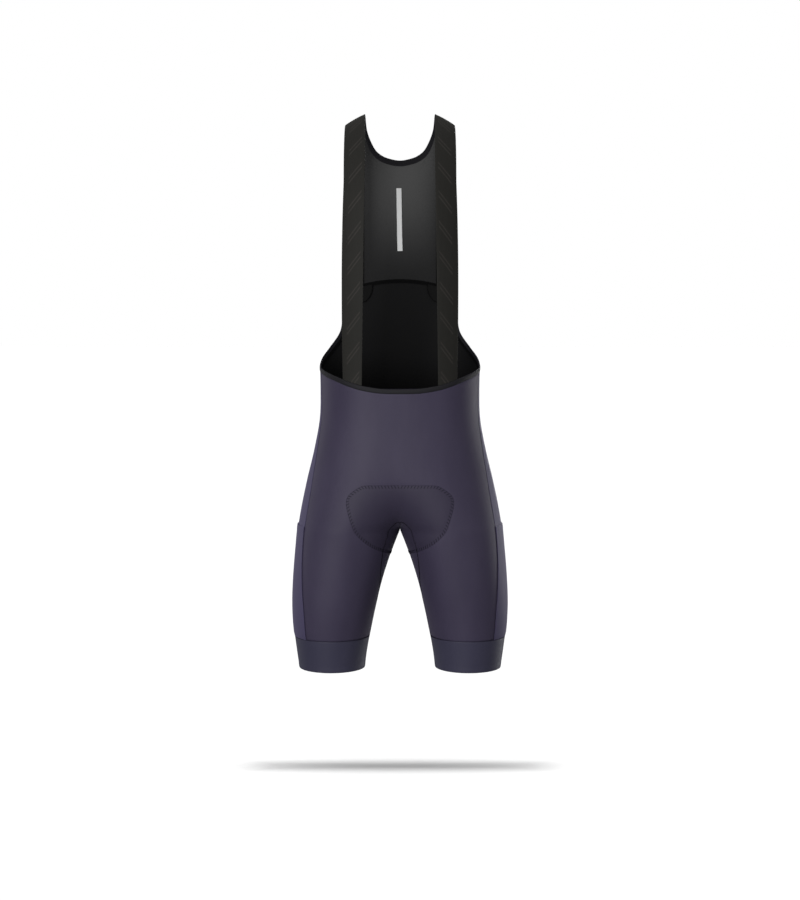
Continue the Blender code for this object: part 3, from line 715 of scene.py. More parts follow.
def panel(name, angles, heights, finish, seams, side=1, mirrored=False, pad=False):
    """A panel of the shorts, dipping at its seams and lifted over the pad."""
    points, normals = level_middle(*skin(angles, heights))
    lift, behind = turned_in(points, *seams), None
    if pad:
        raised, behind = over_pad(points)
        lift = lift + raised
    across, down = measure(points)
    chart = (across - across[:, -1:], heights) if mirrored else (across, down)
    shell(name, points, normals, lift, KNIT, finish, True, side, mirrored, chart=chart, behind=behind)


# ---------------- stitches
def tube(name, lines, radius, finish, mirrored=False):
    """Thread along lines of points."""
    curve = bpy.data.curves.new(name, "CURVE")
    curve.dimensions = "3D"
    curve.bevel_depth = radius
    curve.bevel_resolution = 1
    curve.use_fill_caps = True
    for line in lines:
        spline = curve.splines.new("POLY")
        spline.points.add(len(line) - 1)
        spline.points.foreach_set("co", np.column_stack([line, np.ones(len(line))]).ravel())
    drawn = placed(name, curve)
    mesh = bpy.data.meshes.new_from_object(drawn.evaluated_get(bpy.context.evaluated_depsgraph_get()))
    bpy.data.objects.remove(drawn)
    mesh.materials.append(FINISHES[finish])
    mesh.shade_smooth()
    mesh.name = name
    dressed(name, mesh, mirrored=mirrored)


def sewn(line, width, pitch, lift=0.00005, beside_line=0.0, on_pad=False, side=1):
    """A zigzag of thread across a line of points on the figure."""
    length = lengths(line[0])
    at = np.arange(pitch / 4, length[-1], pitch / 2)
    spot, normal = resampled(at, length, line[0]), unit(resampled(at, length, line[1]))
    beside = unit(np.cross(normal, np.gradient(spot, axis=0)))
    swing = beside_line + np.where(np.arange(len(at)) % 2, 1.0, -1.0)[:, None] * width / 2
    spot = spot + beside * swing
    if on_pad:
        spot, normal = skin(angle_of(spot), spot[:, 2])
        lift = lift + over_pad(spot)[0][:, None]
    return (spot + normal * lift) * (side, 1, 1)


# ---------------- materials
def linear(code):
    """An sRGB hex colour as linear RGBA."""
    parts = [int(code[i : i + 2], 16) / 255 for i in (0, 2, 4)]
    return (*(p / 12.92 if p <= 0.04045 else ((p + 0.055) / 1.055) ** 2.4 for p in parts), 1.0)


def add(tree, kind, inputs=(), output=0, **settings):
    """Adds a node with its settings, sets or links its inputs, and returns one of its outputs."""
    made = tree.nodes.new("ShaderNode" + kind)
    for key, value in settings.items():
        setattr(made, key, value)
    for key, value in inputs.items() if isinstance(inputs, dict) else enumerate(inputs):
        if isinstance(value, bpy.types.NodeSocket):
            tree.links.new(value, made.inputs[key])
        else:
            made.inputs[key].default_value = value
    return made.outputs[output]


TIMES, TIMES_PLUS, LESS = ({"operation": name} for name in ("MULTIPLY", "MULTIPLY_ADD", "SUBTRACT"))
COLOURS = {"data_type": "RGBA", "output": 2}  # a Mix node's share is input 0, and its colours are 6 and 7
SOFTLY = {"interpolation_type": "SMOOTHSTEP"}


def thread_rows(tree, chart, pitch, way):
    """0 to 1 over rows of thread that lie a pitch apart in metres: X across the cloth, Y down it."""
    wave = {"wave_type": "BANDS", "bands_direction": way, "wave_profile": "SIN"}
    return add(tree, "TexWave", {"Vector": chart, "Scale": math.tau / 20 / pitch}, "Fac", **wave)


def weave(tree, chart, across, down):
    """Rows of thread both ways, of which those down the cloth show most."""
    half = add(tree, "Math", (thread_rows(tree, chart, down, "Y"), 0.5, 0.5), **TIMES_PLUS)
    return add(tree, "Math", (thread_rows(tree, chart, across, "X"), half), **TIMES)


def mottled(tree, place, low, high, size, detail=2.0):
    """A colour that drifts slowly between two tones, over patches of a size in metres."""
    noise = add(tree, "TexNoise", {"Vector": place, "Scale": 1 / size, "Detail": detail})
    return add(tree, "Mix", {0: noise, 6: linear(low), 7: linear(high)}, **COLOURS)


def painted_hollow_shade(tree, raised, depth, tone, dark="000000"):
    """Painted shade: a tone that darkens by a share where the thread lies low."""
    share = add(tree, "Math", (raised, depth, 1 - depth), **TIMES_PLUS)
    return add(tree, "Mix", {0: share, 6: linear(dark), 7: tone}, **COLOURS)


# Each cloth below gives its colour, its relief from 0 to 1, and how deep the relief is in metres.
def jersey(tree, chart, place, low, high, wale=0.0011, course=0.0009, shade_tone=""):
    """Warp-knit nylon and elastane. Real wales are 0.4 mm apart; they are drawn wider so they show.

    The shade tone, where there is one, is painted shade that takes over down the back towards the waist.
    """
    loops = weave(tree, chart, wale, course)
    drawn = add(tree, "Mapping", {"Vector": place, "Scale": (1.0, 1.0, 0.35)})
    tone = mottled(tree, drawn, low, high, 0.045, 3.0)
    if shade_tone:
        # Painted shade: the knit darkens towards the shade tone lower down the back.
        height = add(tree, "SeparateXYZ", (place,), output="Z")
        painted_shading_share = add(tree, "MapRange", (height, *BACK_PAINTED_SHADE_HEIGHTS))
        tone = add(tree, "Mix", {0: painted_shading_share, 6: linear(shade_tone), 7: tone}, **COLOURS)
    # Partly real and partly painted shade: the knit deepens towards a dark tone where the pad lies behind it.
    pad = add(tree, "Attribute", output="Fac", attribute_name="pad_shade_share")
    share = add(tree, "Math", (pad, PAD_TONE_AND_SHADE), **TIMES)
    tone = add(tree, "Mix", {0: share, 6: tone, 7: linear("08070c")}, **COLOURS)
    return painted_hollow_shade(tree, loops, 0.35, tone), loops, 0.00006


def open_mesh(tree, chart, place, low, high):
    """Open warp-knit mesh: rows of small holes 1.9 mm apart, with painted light making it lighter high up
    near the centre.
    """
    slanted = add(tree, "Mapping", {"Vector": chart, "Rotation": (0, 0, math.radians(45))})
    holes = add(tree, "Math", [thread_rows(tree, slanted, 0.0019, way) for way in "XY"], **TIMES)
    holes = add(tree, "Math", (holes, 1.5), operation="POWER")
    yarn = add(tree, "Math", (1.0, holes), **LESS)
    # Painted light: the tone is lighter high up and near the centre, standing for light through the mesh.
    height = add(tree, "SeparateXYZ", (place,), output="Z")
    beside = add(tree, "SeparateXYZ", (place,), output="X")
    beside = add(tree, "Math", (beside, MESH_PAINTED_LIGHT_CENTRE), **LESS)
    beside = add(tree, "Math", (beside, beside), **TIMES)
    up = add(tree, "MapRange", (height, *MESH_PAINTED_LIGHT_HEIGHTS), **SOFTLY)
    middle = add(tree, "MapRange", (beside, 0.0038, 0.0, 0.20, 1.0))
    painted_shading_share = add(tree, "Math", (up, middle), **TIMES)
    tone = add(tree, "Mix", {0: painted_shading_share, 6: linear(low), 7: linear(high)}, **COLOURS)
    return painted_hollow_shade(tree, yarn, 0.6, tone), yarn, 0.00018


def woven_elastic(tree, chart, place, low, high, *bar_tones):
    """Flat woven elastic: fine cross ribs over lengthwise cords, with pairs of slanted bars woven in."""
    raised = weave(tree, chart, 0.0022, 0.0013)
    tone = mottled(tree, place, low, high, 0.03)
    if bar_tones:
        across, down = (add(tree, "SeparateXYZ", (chart,), output=way) for way in "XY")
        slant = add(tree, "CombineXYZ", (add(tree, "Math", (across, 1.5, down), **TIMES_PLUS),))
        beside = add(tree, "Math", (across, STRAP_MIDDLE), **LESS)
        beside = add(tree, "Math", (beside,), operation="ABSOLUTE")
        bar = add(tree, "MapRange", (beside, 0.0125, 0.0110))
        for pitch, start, end in ((0.0085, 0.60, 0.76), (0.0510, 0.62, 0.68)):
            stripe = add(tree, "MapRange", (thread_rows(tree, slant, pitch, "X"), start, end), **SOFTLY)
            bar = add(tree, "Math", (bar, stripe), **TIMES)
        bar_tone = mottled(tree, place, *bar_tones, 0.03)
        tone = add(tree, "Mix", {0: bar, 6: tone, 7: bar_tone}, **COLOURS)
    return painted_hollow_shade(tree, raised, 0.4, tone), raised, 0.00016


def folded_edge(tree, chart, place, low, high):
    """Fold-over elastic: short ribs across the edge."""
    ribs = thread_rows(tree, chart, 0.0014, "X")
    return painted_hollow_shade(tree, ribs, 0.4, mottled(tree, place, low, high, 0.03)), ribs, 0.00012


def ribbon(tree, chart, place, low, high):
    """Woven ribbon of a bare label: fine threads both ways."""
    threads = weave(tree, chart, 0.0008, 0.0008)
    return painted_hollow_shade(tree, threads, 0.2, mottled(tree, place, low, high, 0.012), "bcbcba"), threads, 0.00008


def brushed_cover(tree, chart, place, low, high):
    """Brushed knit over foam, with rows of small vent holes 4.5 mm apart."""
    inputs = {"Vector": chart, "Scale": 1 / 0.0045, "Randomness": 0.0}
    vents = add(tree, "TexVoronoi", inputs, voronoi_dimensions="2D")
    between_vents = add(tree, "Math", (vents, 0.35, 0.1), operation="SMOOTH_MIN")
    between_vents = add(tree, "Math", (between_vents, 2.6), **TIMES)
    nap = add(tree, "TexNoise", {"Vector": place, "Scale": 900.0, "Detail": 2.0})
    relief = add(tree, "Math", (nap, 0.375, between_vents), **TIMES_PLUS)
    tone = mottled(tree, place, low, high, 0.02)
    return painted_hollow_shade(tree, between_vents, 0.6, tone, "050506"), relief, 0.0004


def spun_thread(tree, chart, place, low, high):
    """Sewing thread: a fine irregular twist."""
    twist = add(tree, "TexNoise", {"Vector": place, "Scale": 1500.0, "Detail": 1.0})
    return add(tree, "Mix", {0: twist, 6: linear(low), 7: linear(high)}, **COLOURS), twist, 0.00003


def cloth(name, build, tones, roughness, specular, sheen=0.0, sheen_tint="ffffff"):
    """A material in a cloth's tones and gloss. The sheen is light that the yarn's ends catch."""
    made = bpy.data.materials.new(name)
    made.use_nodes = True
    tree = made.node_tree
    shader = tree.nodes["Principled BSDF"]
    for socket, value in (
        ("Roughness", roughness),
        ("Specular IOR Level", specular),
        ("Sheen Weight", sheen),
        ("Sheen Tint", linear(sheen_tint)),
        ("Sheen Roughness", 0.4),
    ):
        shader.inputs[socket].default_value = value
    chart = add(tree, "UVMap", uv_map="chart")
    place = add(tree, "TexCoord", output="Object")
    colour, relief, depth = build(tree, chart, place, *tones)
    height = add(tree, "Math", (relief, depth), **TIMES)
    tree.links.new(colour, shader.inputs["Base Color"])
    bump = add(tree, "Bump", {"Height": height, "Distance": 1.0, "Strength": 0.7})
    tree.links.new(bump, shader.inputs["Normal"])
    return made


MAUVE, GREY = "8f88a8", "77777a"  # tints of the light that catches the yarn's ends
FINISHES = {
    # Satin warp knit, dyed through: a soft sheen that rises at the edges, over fine upright wales.
    "knit": cloth("satin nylon elastane knit", jersey, ("393349", "474157"), 0.58, 0.25, 0.18, MAUVE),
    # The same yarn in a smoother, denser knit with a raised face: paler, and bright at a low angle.
    "side_knit": cloth(
        "brushed nylon elastane knit", jersey, ("49435f", "544e6d", 0.0014, 0.0014), 0.6, 0.2, 0.35, "8a83ab"
    ),
    # Matt polyester knit: black with hardly any highlight, and made deepest at the waist by painted shade.
    "back_knit": cloth(
        "matt polyester knit", jersey, ("111112", "151516", 0.0011, 0.0009, "050506"), 0.85, 0.2, 0.05, GREY
    ),
    # Power mesh: painted light makes it a grey haze high up near the centre, and painted shade leaves it
    # black lower down.
    "mesh_knit": cloth("nylon power mesh", open_mesh, ("171718", "5c5c5c"), 0.75, 0.3, 0.1, GREY),
    # Flat woven elastic, olive black: cross ribs break up its light, and the woven bars are a shade paler.
    "elastic": cloth(
        "flat woven elastic", woven_elastic, ("201f1c", "24231f", "312e2b", "363330"),
        0.7, 0.25, 0.1, "7a786c",
    ),
    # The same elastic, dyed black and seen from its dull side.
    "tab": cloth("black woven elastic", woven_elastic, ("0b0b0b", "0e0e0e"), 0.85, 0.2, 0.05, GREY),
    # Fold-over elastic: a soft rounded edge with short ribs across it.
    "binding": cloth("fold-over elastic", folded_edge, ("141319", "18171d"), 0.65, 0.3, 0.1, "77728a"),
    # Dense knitted band: a bluer and duller tone than the panels, with a close grid of loops.
    "gripper": cloth(
        "dense elastic knit", jersey, ("353449", "403e54", 0.0010, 0.0014), 0.55, 0.35, 0.15, "8a8ea8"
    ),
    # Woven polyester ribbon: bleached white, with a faint gloss along its threads.
    "label": cloth("woven polyester ribbon", ribbon, ("f2f3f3", "f8f9f9"), 0.5, 0.4),
    # Brushed cover on moulded foam: soft and dull, with painted shade darkening its vent holes.
    "pad": cloth("brushed foam pad cover", brushed_cover, ("2b2b30", "35353b"), 0.85, 0.2, 0.3, "8888a0"),
    # Polyester threads and tapes: dull, each a little darker or paler than the cloth that it holds.
    "thread": cloth("polyester thread", spun_thread, ("262232", "302b3d"), 0.7, 0.2),
    # The darker thread is painted shade: it stands for the shadow along the inner seams, the crotch seam and
    # the pad's stitches.
    "shade_thread": cloth("polyester thread darkened as shade", spun_thread, ("15131c", "1c1a26"), 0.7, 0.2),
    "black_thread": cloth("black polyester thread", spun_thread, ("060607", "0a0a0b"), 0.8, 0.1),
    "tape": cloth("soft seam tape", folded_edge, ("1d1a26", "23202c"), 0.8, 0.2),
    "dark_tape": cloth("black seam tape", folded_edge, ("060607", "09090a"), 0.85, 0.1),
}


# ---------------- the shorts
SIDES = (("left", 1), ("right", -1))
SIDE_FRONT, SIDE_BACK = side_line(True), side_line(False)
INNER_FRONT, INNER_BACK = inner_line(True), inner_line(False)
CROTCH_SEAM = crotch_line()
GRIPPER_SEAM = skin(np.linspace(-math.pi, math.pi, 121), np.full(121, GRIPPER_TOP))
WAIST_SEAM = waist_line()
SEAT_LINE = seat_line()
ARCH_LINE = arch_line()


def add_front_and_seat():
    for name, front, seams in (
        ("front_panel", True, (SIDE_FRONT, INNER_FRONT, GRIPPER_SEAM, WAIST_SEAM)),
        ("seat_panel", False, (SIDE_BACK, INNER_BACK, GRIPPER_SEAM, SEAT_LINE)),
    ):
        panel(name, *half_panel(front), "knit", seams, mirrored=True, pad=True)


def add_legs():
    side_seams_in = (SIDE_FRONT, SIDE_BACK, GRIPPER_SEAM, WAIST_SEAM)
    for suffix, side in SIDES:
        panel(f"side_panel_{suffix}", *side_grid(DROPS), "side_knit", side_seams_in, side=side)
        add_inner_leg(f"inner_leg_panel_{suffix}", side)
        add_gripper(f"leg_gripper_{suffix}", side)
        add_pocket(f"leg_pocket_{suffix}", side)


def add_inner_leg(name, side):
    """The thigh's inner panel, which stays clear of its twin along the crotch seam."""
    points, normals = skin(*inner_grid())
    normals[0, :, 0] = 0
    points[..., 0] = np.maximum(points[..., 0], HALF_GAP)
    raised, behind = over_pad(points)
    lift = raised + turned_in(points, INNER_FRONT, INNER_BACK, CROTCH_SEAM, GRIPPER_SEAM)
    shell(name, points, normals, lift, KNIT, "knit", side=side, behind=behind, clear=HALF_GAP)


def add_gripper(name, side):
    """A wide band, doubled at the hem, whose top lies in the seam."""
    top = GRIPPER_TOP - HALF_GAP
    height = (top + (HEM - top) * places(GRIPPER_TOP - HEM, FINE_STEP))[:, None]
    points, normals = skin(np.linspace(-math.pi, math.pi, 161), height)
    seam = SEAM_DEPTH * np.exp(-(((GRIPPER_TOP - height) / SEAM_REACH) ** 2))
    hem = HEM_FOLD * np.exp(-(((height - HEM - HEM_RISE) / HEM_RISE) ** 2))
    lift = PROUD / 2 - seam + hem
    shell(name, points, normals, lift, lift - PROUD / 2 + GRIPPER, "gripper", side=side, rounded=0.0008)


def add_pocket(name, side):
    """The layer over the lower side panel. Its mouth is folded double and stands out a little."""
    first = 1 + BLOCK_TOP - POCKET_MOUTH
    angles, heights = side_grid(first + (LAST_DROP - first) * places(LAST_DROP - first, STEP))
    points, normals = skin(angles, heights)
    gap = np.minimum(near(points, SIDE_FRONT[0])[0], near(points, SIDE_BACK[0])[0])
    fall = heights[0, 0] - heights
    mouth = BULGE * np.exp(-fall / BULGE_REACH) * (1 - np.exp(-((gap / HELD_REACH) ** 2)))
    fold = MOUTH_FOLD / (1 + np.exp((fall - MOUTH_FOLD_DEPTH) / 0.0006))
    foot, _ = near(points, GRIPPER_SEAM[0])
    pressed = (GAP + POCKET) * 0.55 * np.exp(-((foot / 0.004) ** 2))
    lift = GAP + POCKET + mouth + fold - pressed
    thickness = POCKET + fold - 0.8 * pressed
    shell(name, points, normals, lift, thickness, "side_knit", side=side, rounded=0.0004)


# ---------------- edges, back and straps
def add_waist_binding():
    share, at = np.linspace(0, 1, 7), np.linspace(0, 1, 260)
    lines = [np.transpose(edge_line(distance)) for distance in BINDING_WIDTH * share]
    lines = [resampled(at, np.linspace(0, 1, len(line)), line) for line in lines]
    angles, heights, distances = np.moveaxis(np.array(lines), -1, 0)
    heights[:, 0] = arch(distances[:, 0]) - HALF_GAP
    points, normals = skin(angles, heights)
    points[:, -1, 0] = 0
    lift = (PROUD + CROWN * (np.sin(math.pi * share) - share**6))[:, None]
    shell("waist_binding", points, normals, lift, BINDING, "binding", mirrored=True, rounded=0.0006)


def add_lower_back():
    edge_angle, edge_height, edge_x = edge_line(BINDING_WIDTH + GAP)
    first = np.interp(-CORNER_ANGLE, -edge_angle, edge_height)
    last = arch(edge_x[0]) - HALF_GAP
    share = places(BACK_WIDTH, STEP, first=False)
    angles, heights = [], []
    for part in places(BACK_HEIGHT, STEP):
        side_height = first + (last - first) * part
        side_angle = np.interp(-side_height, -edge_height, edge_angle)
        angle = evenly((math.pi / 2, side_angle), (side_height, side_height), share)[0]
        top = arch(skin(angle, side_height)[0][..., 0]) - HALF_GAP
        foot = panel_top(angle + 1e-6) + HALF_GAP
        level = foot * (1 - part) + top * part
        angles.append(angle)
        heights.append(level + (side_height - level[-1]) * share)
    seams = (SEAT_LINE, WAIST_SEAM, ARCH_LINE)
    panel("lower_back_panel", np.array(angles), np.array(heights), "back_knit", seams, mirrored=True)


def scoop_lines(count):
    """Across and station of the scoop's free edge and of its binding's inner edge, centre to shoulder."""
    x, station, width = scoop(np.linspace(0, len(SCOOP) - 1, count))
    point, normal = figure(x, station, False)
    along = np.gradient(point, axis=0)
    along[0] = (1, 0, 0)
    down = unit(np.cross(normal, along))
    step = 1e-4
    climb = (figure(x, station + step, False)[0] - figure(x, station - step, False)[0]) / (2 * step)
    fall = np.einsum("ij,ij->i", down, climb) / np.einsum("ij,ij->i", climb, climb)
    return np.array([(x, station), (x + width * down[:, 0], station + width * fall)])


def between(start, end, count):
    """Rows of values from one line to another."""
    share = np.linspace(0, 1, count)[:, None]
    return start * (1 - share) + end * share


def add_neck_binding():
    (x, station), (inner_x, inner_station) = scoop_lines(120)
    inner_x = np.minimum(inner_x, strap_back(inner_station)[0] - GAP)
    spots = figure(between(x, inner_x, 6), between(station, inner_station, 6), False)
    shell("neck_binding", *spots, PROUD, BINDING, "binding", mirrored=True, rounded=0.0005)


def add_upper_back():
    x, station = scoop_lines(60)[1]
    clear = x < strap_back(station)[0] - CORNER_CLEARANCE
    x, station = x[clear], station[clear] - GAP
    share = x / x[-1]
    foot = arch(share * (strap_back(ARCH[0])[0] - GAP)) + HALF_GAP
    spots = []
    for part in places(MESH_HEIGHT, STEP):
        level = station + (foot - station) * part
        widest = strap_back(level)[0] - GAP
        straight = share * np.minimum(widest, widest[-1])
        # The scoop's curve fades out over the first third of the way down.
        spots.append(figure(x + (straight - x) * min(part * 3, 1), level, False))
    points, normals = np.moveaxis(np.array(spots), 1, 0)
    lift = turned_in(points, ARCH_LINE)
    shell("upper_back_panel", points, normals, lift, MESH_KNIT, "mesh_knit", mirrored=True)


def add_straps():
    """The woven elastics, from the front waist over the shoulders to the arched seam."""
    share = np.linspace(0, 1, 19)

    def across(table, station):
        inner, outer = table(station)
        return inner + (outer - inner) * share

    edge_angle, edge_height, edge_x = edge_line(-GAP)
    ahead = edge_angle < 0
    start = across(strap_front, STRAP_FRONT[0][0])
    start = np.interp(start, edge_x[ahead][::-1], edge_height[ahead][::-1])
    end = arch(across(strap_back, ARCH[0])) + HALF_GAP
    spots = []
    for first, last, parts, front in (
        (start, CAP, np.linspace(0, 1, 66)[:-1], True),
        (CAP, 0, np.linspace(0, 1, 60), True),
        (0, CAP, np.linspace(0, 1, 60)[1:], False),
        (CAP, end, np.linspace(0, 1, 24)[1:], False),
    ):
        for part in parts:
            station = first + (last - first) * part + 0 * share
            table = strap_front if front else strap_back
            spots.append(figure(across(table, np.mean(station)), station, front))
    spots = np.moveaxis(np.array(spots), 1, 0)
    selvedge = [np.exp(-((beside / 0.05) ** 2)) for beside in (share, 1 - share)]
    lift = -SELVEDGE * sum(selvedge)[None, :]
    for suffix, side in SIDES:
        shell(f"strap_{suffix}", *spots, lift, ELASTIC, "elastic", side=side, rounded=0.0005)


def tab_height(across, part):
    """Height on a tab, at a part of the way down it."""
    return arch(across) - TAB_DROP - (TAB_DEPTH - TAB_DROP) * part


def add_back_tabs():
    part = np.linspace(0, 1, 14)[:, None]
    inner = TAB_INNER + TAB_ROUNDING * part**3
    across = inner + (TAB_OUTER - inner) * np.linspace(0, 1, 16)
    spots = figure(across, tab_height(across, part), False)
    for suffix, side in SIDES:
        shell(f"back_tab_{suffix}", *spots, -KNIT - LAYER, ELASTIC, "tab", side=side, rounded=0.0006)


def tab_edge():
    """The row of stitches round a tab, on the side that faces the wearer; drawn thick and black, it is also
    painted shade along the tab's edge.
    """
    part = np.linspace(0, TAB_ROW, 30)
    across = TAB_INNER + TAB_ROUNDING * part**3 + 0.0012
    foot = np.linspace(across[-1], TAB_OUTER, 16)[1:]
    across, part = np.concatenate([across, foot]), np.concatenate([part, np.full(len(foot), TAB_ROW)])
    points, normals = figure(across, tab_height(across, part), False)
    return points - normals * (KNIT + LAYER + ELASTIC)


def add_loop_label():
    """A bare woven strip, sewn down at its ends and hanging slightly askew."""
    share = np.linspace(0, 1, 60)[:, None]
    across = np.linspace(-0.5, 0.5, 9) * LABEL_WIDTH + LABEL_LEAN * (1 - share)
    height = LABEL_TOP + (LABEL_BOTTOM - LABEL_TOP) * share
    points, normals = figure(np.abs(across), height, False)
    points[..., 0] *= np.sign(across)
    normals[..., 0] *= np.sign(across)
    lift = -MESH_KNIT - LAYER + LABEL_SLACK * np.sin(math.pi * share)
    shell("loop_label", points, normals, lift, LABEL, "label", rounded=0.0003)


def add_seat_pad():
    """The foam pad: thick along its middle, with two channels each side and a thin stitched edge."""
    rows, columns = 110, 34
    middle, edge, edge_height = pad_outline(np.linspace(0, len(PAD) - 1, rows))
    middle, edge = math.pi - np.radians(middle), math.pi - np.radians(edge)
    middle_height = crotch(math.pi - middle)
    share = np.linspace(0, 1, columns)
    ends = zip(zip(middle, edge), zip(middle_height, edge_height))
    lines = [evenly(angles, heights, share) for angles, heights in ends]
    points, normals = skin(*np.moveaxis(np.array(lines), 1, 0))
    points[:, 0, 0] = 0
    part = np.linspace(0, 1, rows)[:, None]
    # It thins out over the last ninth of its length at each end.
    ends = np.clip(np.minimum(part, 1 - part) / 0.11, 0, 1) ** 0.7
    thickness = PAD_EDGE + (PAD_MIDDLE - PAD_EDGE) * (1 - share**2) * ends
    for channel, width in PAD_CHANNELS:
        thickness = thickness - PAD_CHANNEL_DEPTH * ends * np.exp(-(((share - channel) / width) ** 2))
    thickness = np.maximum(thickness, PAD_THINNEST)
    lift = -KNIT - PAD_SEAT
    pad = shell("seat_pad", points, normals, lift, thickness, "pad", mirrored=True, rounded=0.0005)


# ---------------- tapes and threads
def taped(name, line, width, finish="tape", depth=TAPE_DEPTH, side=1, mirrored=False, half=False):
    """A soft tape behind a seam, on the wearer's side. A half tape ends at the middle plane."""
    points, normals = line
    beside = unit(np.cross(normals, np.gradient(points, axis=0)))
    share = np.linspace(0 if half else -0.5, 0.5, 3 if half else 5)[:, None, None]
    spread = points + share * width * beside
    spots, facing = skin(angle_of(spread), spread[..., 2])
    if half:
        spots[0, :, 0] = facing[0, :, 0] = 0
    elif mirrored:
        on_middle = np.abs(points[:, 0]) < ON_MIDDLE
        spots[:, on_middle, 0] = facing[:, on_middle, 0] = 0
    clear = 0 if half else None
    shell(name, spots, facing, -depth, TAPE, finish, False, side, mirrored, clear=clear)


def add_tapes():
    """Tapes behind every seam, so that no light comes through."""
    deeper = TAPE_DEPTH + 2 * TAPE
    beside_legs = {
        "side_front": SIDE_FRONT, "side_back": SIDE_BACK, "inner_front": INNER_FRONT, "inner_back": INNER_BACK
    }
    for suffix, side in SIDES:
        for name, line in beside_legs.items():
            taped(f"{name}_tape_{suffix}", line, 0.0050, side=side)
        taped(f"gripper_tape_{suffix}", GRIPPER_SEAM, 0.0060, depth=deeper, side=side)
        add_strap_tape(f"strap_tape_{suffix}", side)
    taped("crotch_tape", crotch_line(beyond=0.15), 0.0060, depth=deeper, mirrored=True, half=True)
    taped("waist_tape", WAIST_SEAM, 0.0050, "dark_tape", deeper, mirrored=True)
    taped("seat_tape", SEAT_LINE, 0.0180, "back_knit", mirrored=True)
    taped("arch_tape", ARCH_LINE, 0.0070, "dark_tape", mirrored=True)
    add_neck_tape()


def add_strap_tape(name, side):
    """Tape behind the seam between a back strap and the mesh panel, wider under the mesh near its top."""
    station = np.linspace(ARCH[0] - 0.006, -0.004, 110)[:, None]
    under_mesh = np.interp(station, [-0.120, -0.090, -0.040, -0.004], [0.0010, 0.0024, 0.0024, 0.0018])
    across = strap_back(station[:, 0])[0][:, None] - HALF_GAP - under_mesh
    across = across + (under_mesh + 0.0035) * np.linspace(0, 1, 7)
    spots = figure(across, station, False)
    shell(name, *spots, -ELASTIC - 0.0001, TAPE, "dark_tape", stands_in=False, side=side)


def add_neck_tape():
    """Tape behind the inner edge of the neck binding."""
    edge, inner = scoop_lines(120)
    # From 0.35 of the binding's width outside that edge to 0.1225 inside it.
    (x, station), (deep_x, deep_station) = (inner + (edge - inner) * share for share in (0.35, -0.1225))
    spots = figure(between(x, deep_x, 5), between(station, deep_station, 5), False)
    shell("neck_tape", *spots, PROUD - BINDING - 0.0001, TAPE, "binding", stands_in=False, mirrored=True)


def add_stitches():
    """Cover stitches over the seams, and the bars and row of thread that hold the pad."""
    flat = {"width": 0.0030, "pitch": 0.0020}
    close = {"width": 0.0028, "pitch": 0.0013}
    for suffix, side in SIDES:
        outer = [sewn(line, **flat, side=side) for line in (SIDE_FRONT, SIDE_BACK)]
        tube(f"side_seam_stitches_{suffix}", outer, 0.00022, "thread")
        # The darker thread of the inner seams, the crotch seam and the pad's bars is painted shade along
        # them.
        inner = [sewn(line, **close, on_pad=True, side=side) for line in (INNER_FRONT, INNER_BACK)]
        tube(f"inner_seam_stitches_{suffix}", inner, 0.00030, "shade_thread")
        tube(f"gripper_stitches_{suffix}", [sewn(GRIPPER_SEAM, **flat, side=side)], 0.00024, "thread")
        # Thick black thread round each tab: real stitching, and painted shade that outlines the tab's edge.
        tube(f"tab_stitches_{suffix}", [tab_edge() * (side, 1, 1)], 0.0007, "black_thread")
    tube("crotch_seam_thread", [CROTCH_SEAM[0] - CROTCH_SEAM[1] * 0.0006], 0.0009, "shade_thread")
    # The real bars lie 3.8 mm apart; they are drawn 5.6 mm apart so they show.
    zigzag = sewn(pad_line(), 0.0050, 0.0056, lift=0.00035, beside_line=-0.0022, on_pad=True)
    bars = zigzag[: len(zigzag) // 2 * 2].reshape(-1, 2, 3)
    tube("pad_stitches", bars, 0.00050, "shade_thread", mirrored=True)
    row = sewn(pad_line(), 0.0, 0.0044, on_pad=True)
    tube("pad_edge_thread", [row], 0.00040, "thread", mirrored=True)
    back = [sewn(SEAT_LINE, **flat), sewn(ARCH_LINE, **flat)]
    tube("back_seam_stitches", back, 0.00022, "black_thread", mirrored=True)


# ---------------- what each piece was cut to
def both(*names):
    """Each name on the left and on the right."""
    return [f"{name}_{suffix}" for name in names for suffix, _ in SIDES]


# A worn panel is 12% wider than its cut, and a strap 10% longer. The widths and lengths are those of the
# rectangle round the cut, and the area is the cut's own.
FRONT_TRIM = ["pad_stitches", "pad_edge_thread", "crotch_tape", "crotch_seam_thread"]
LEG_SEAMS = ["front_panel", "seat_panel"]
CUTS = [
    # node, width, length, area, held, what it is sewn to, and the tapes and stitches on it
    ("front_panel", 0.341, 0.462, 0.1395, "stretched", ["waist_binding", *both("side_panel")],
     FRONT_TRIM + both("side_front_tape", "inner_front_tape")),
    ("seat_panel", 0.367, 0.472, 0.1411, "stretched", ["lower_back_panel", *both("side_panel")],
     ["seat_tape", *both("side_back_tape", "inner_back_tape")]),
    ("lower_back_panel", 0.325, 0.184, 0.0375, "stretched", ["upper_back_panel", "waist_binding"],
     ["arch_tape", "back_seam_stitches"]),
    ("upper_back_panel", 0.194, 0.286, 0.0271, "stretched", ["neck_binding", *both("strap")],
     both("strap_tape")),
    ("waist_binding", 0.010, 0.695, 0.0066, "stretched", both("strap"), ["waist_tape"]),
    ("neck_binding", 0.010, 0.295, 0.0023, "stretched", both("strap"), ["neck_tape"]),
    ("loop_label", 0.010, 0.113, 0.0010, "hung", ["upper_back_panel"], []),
]
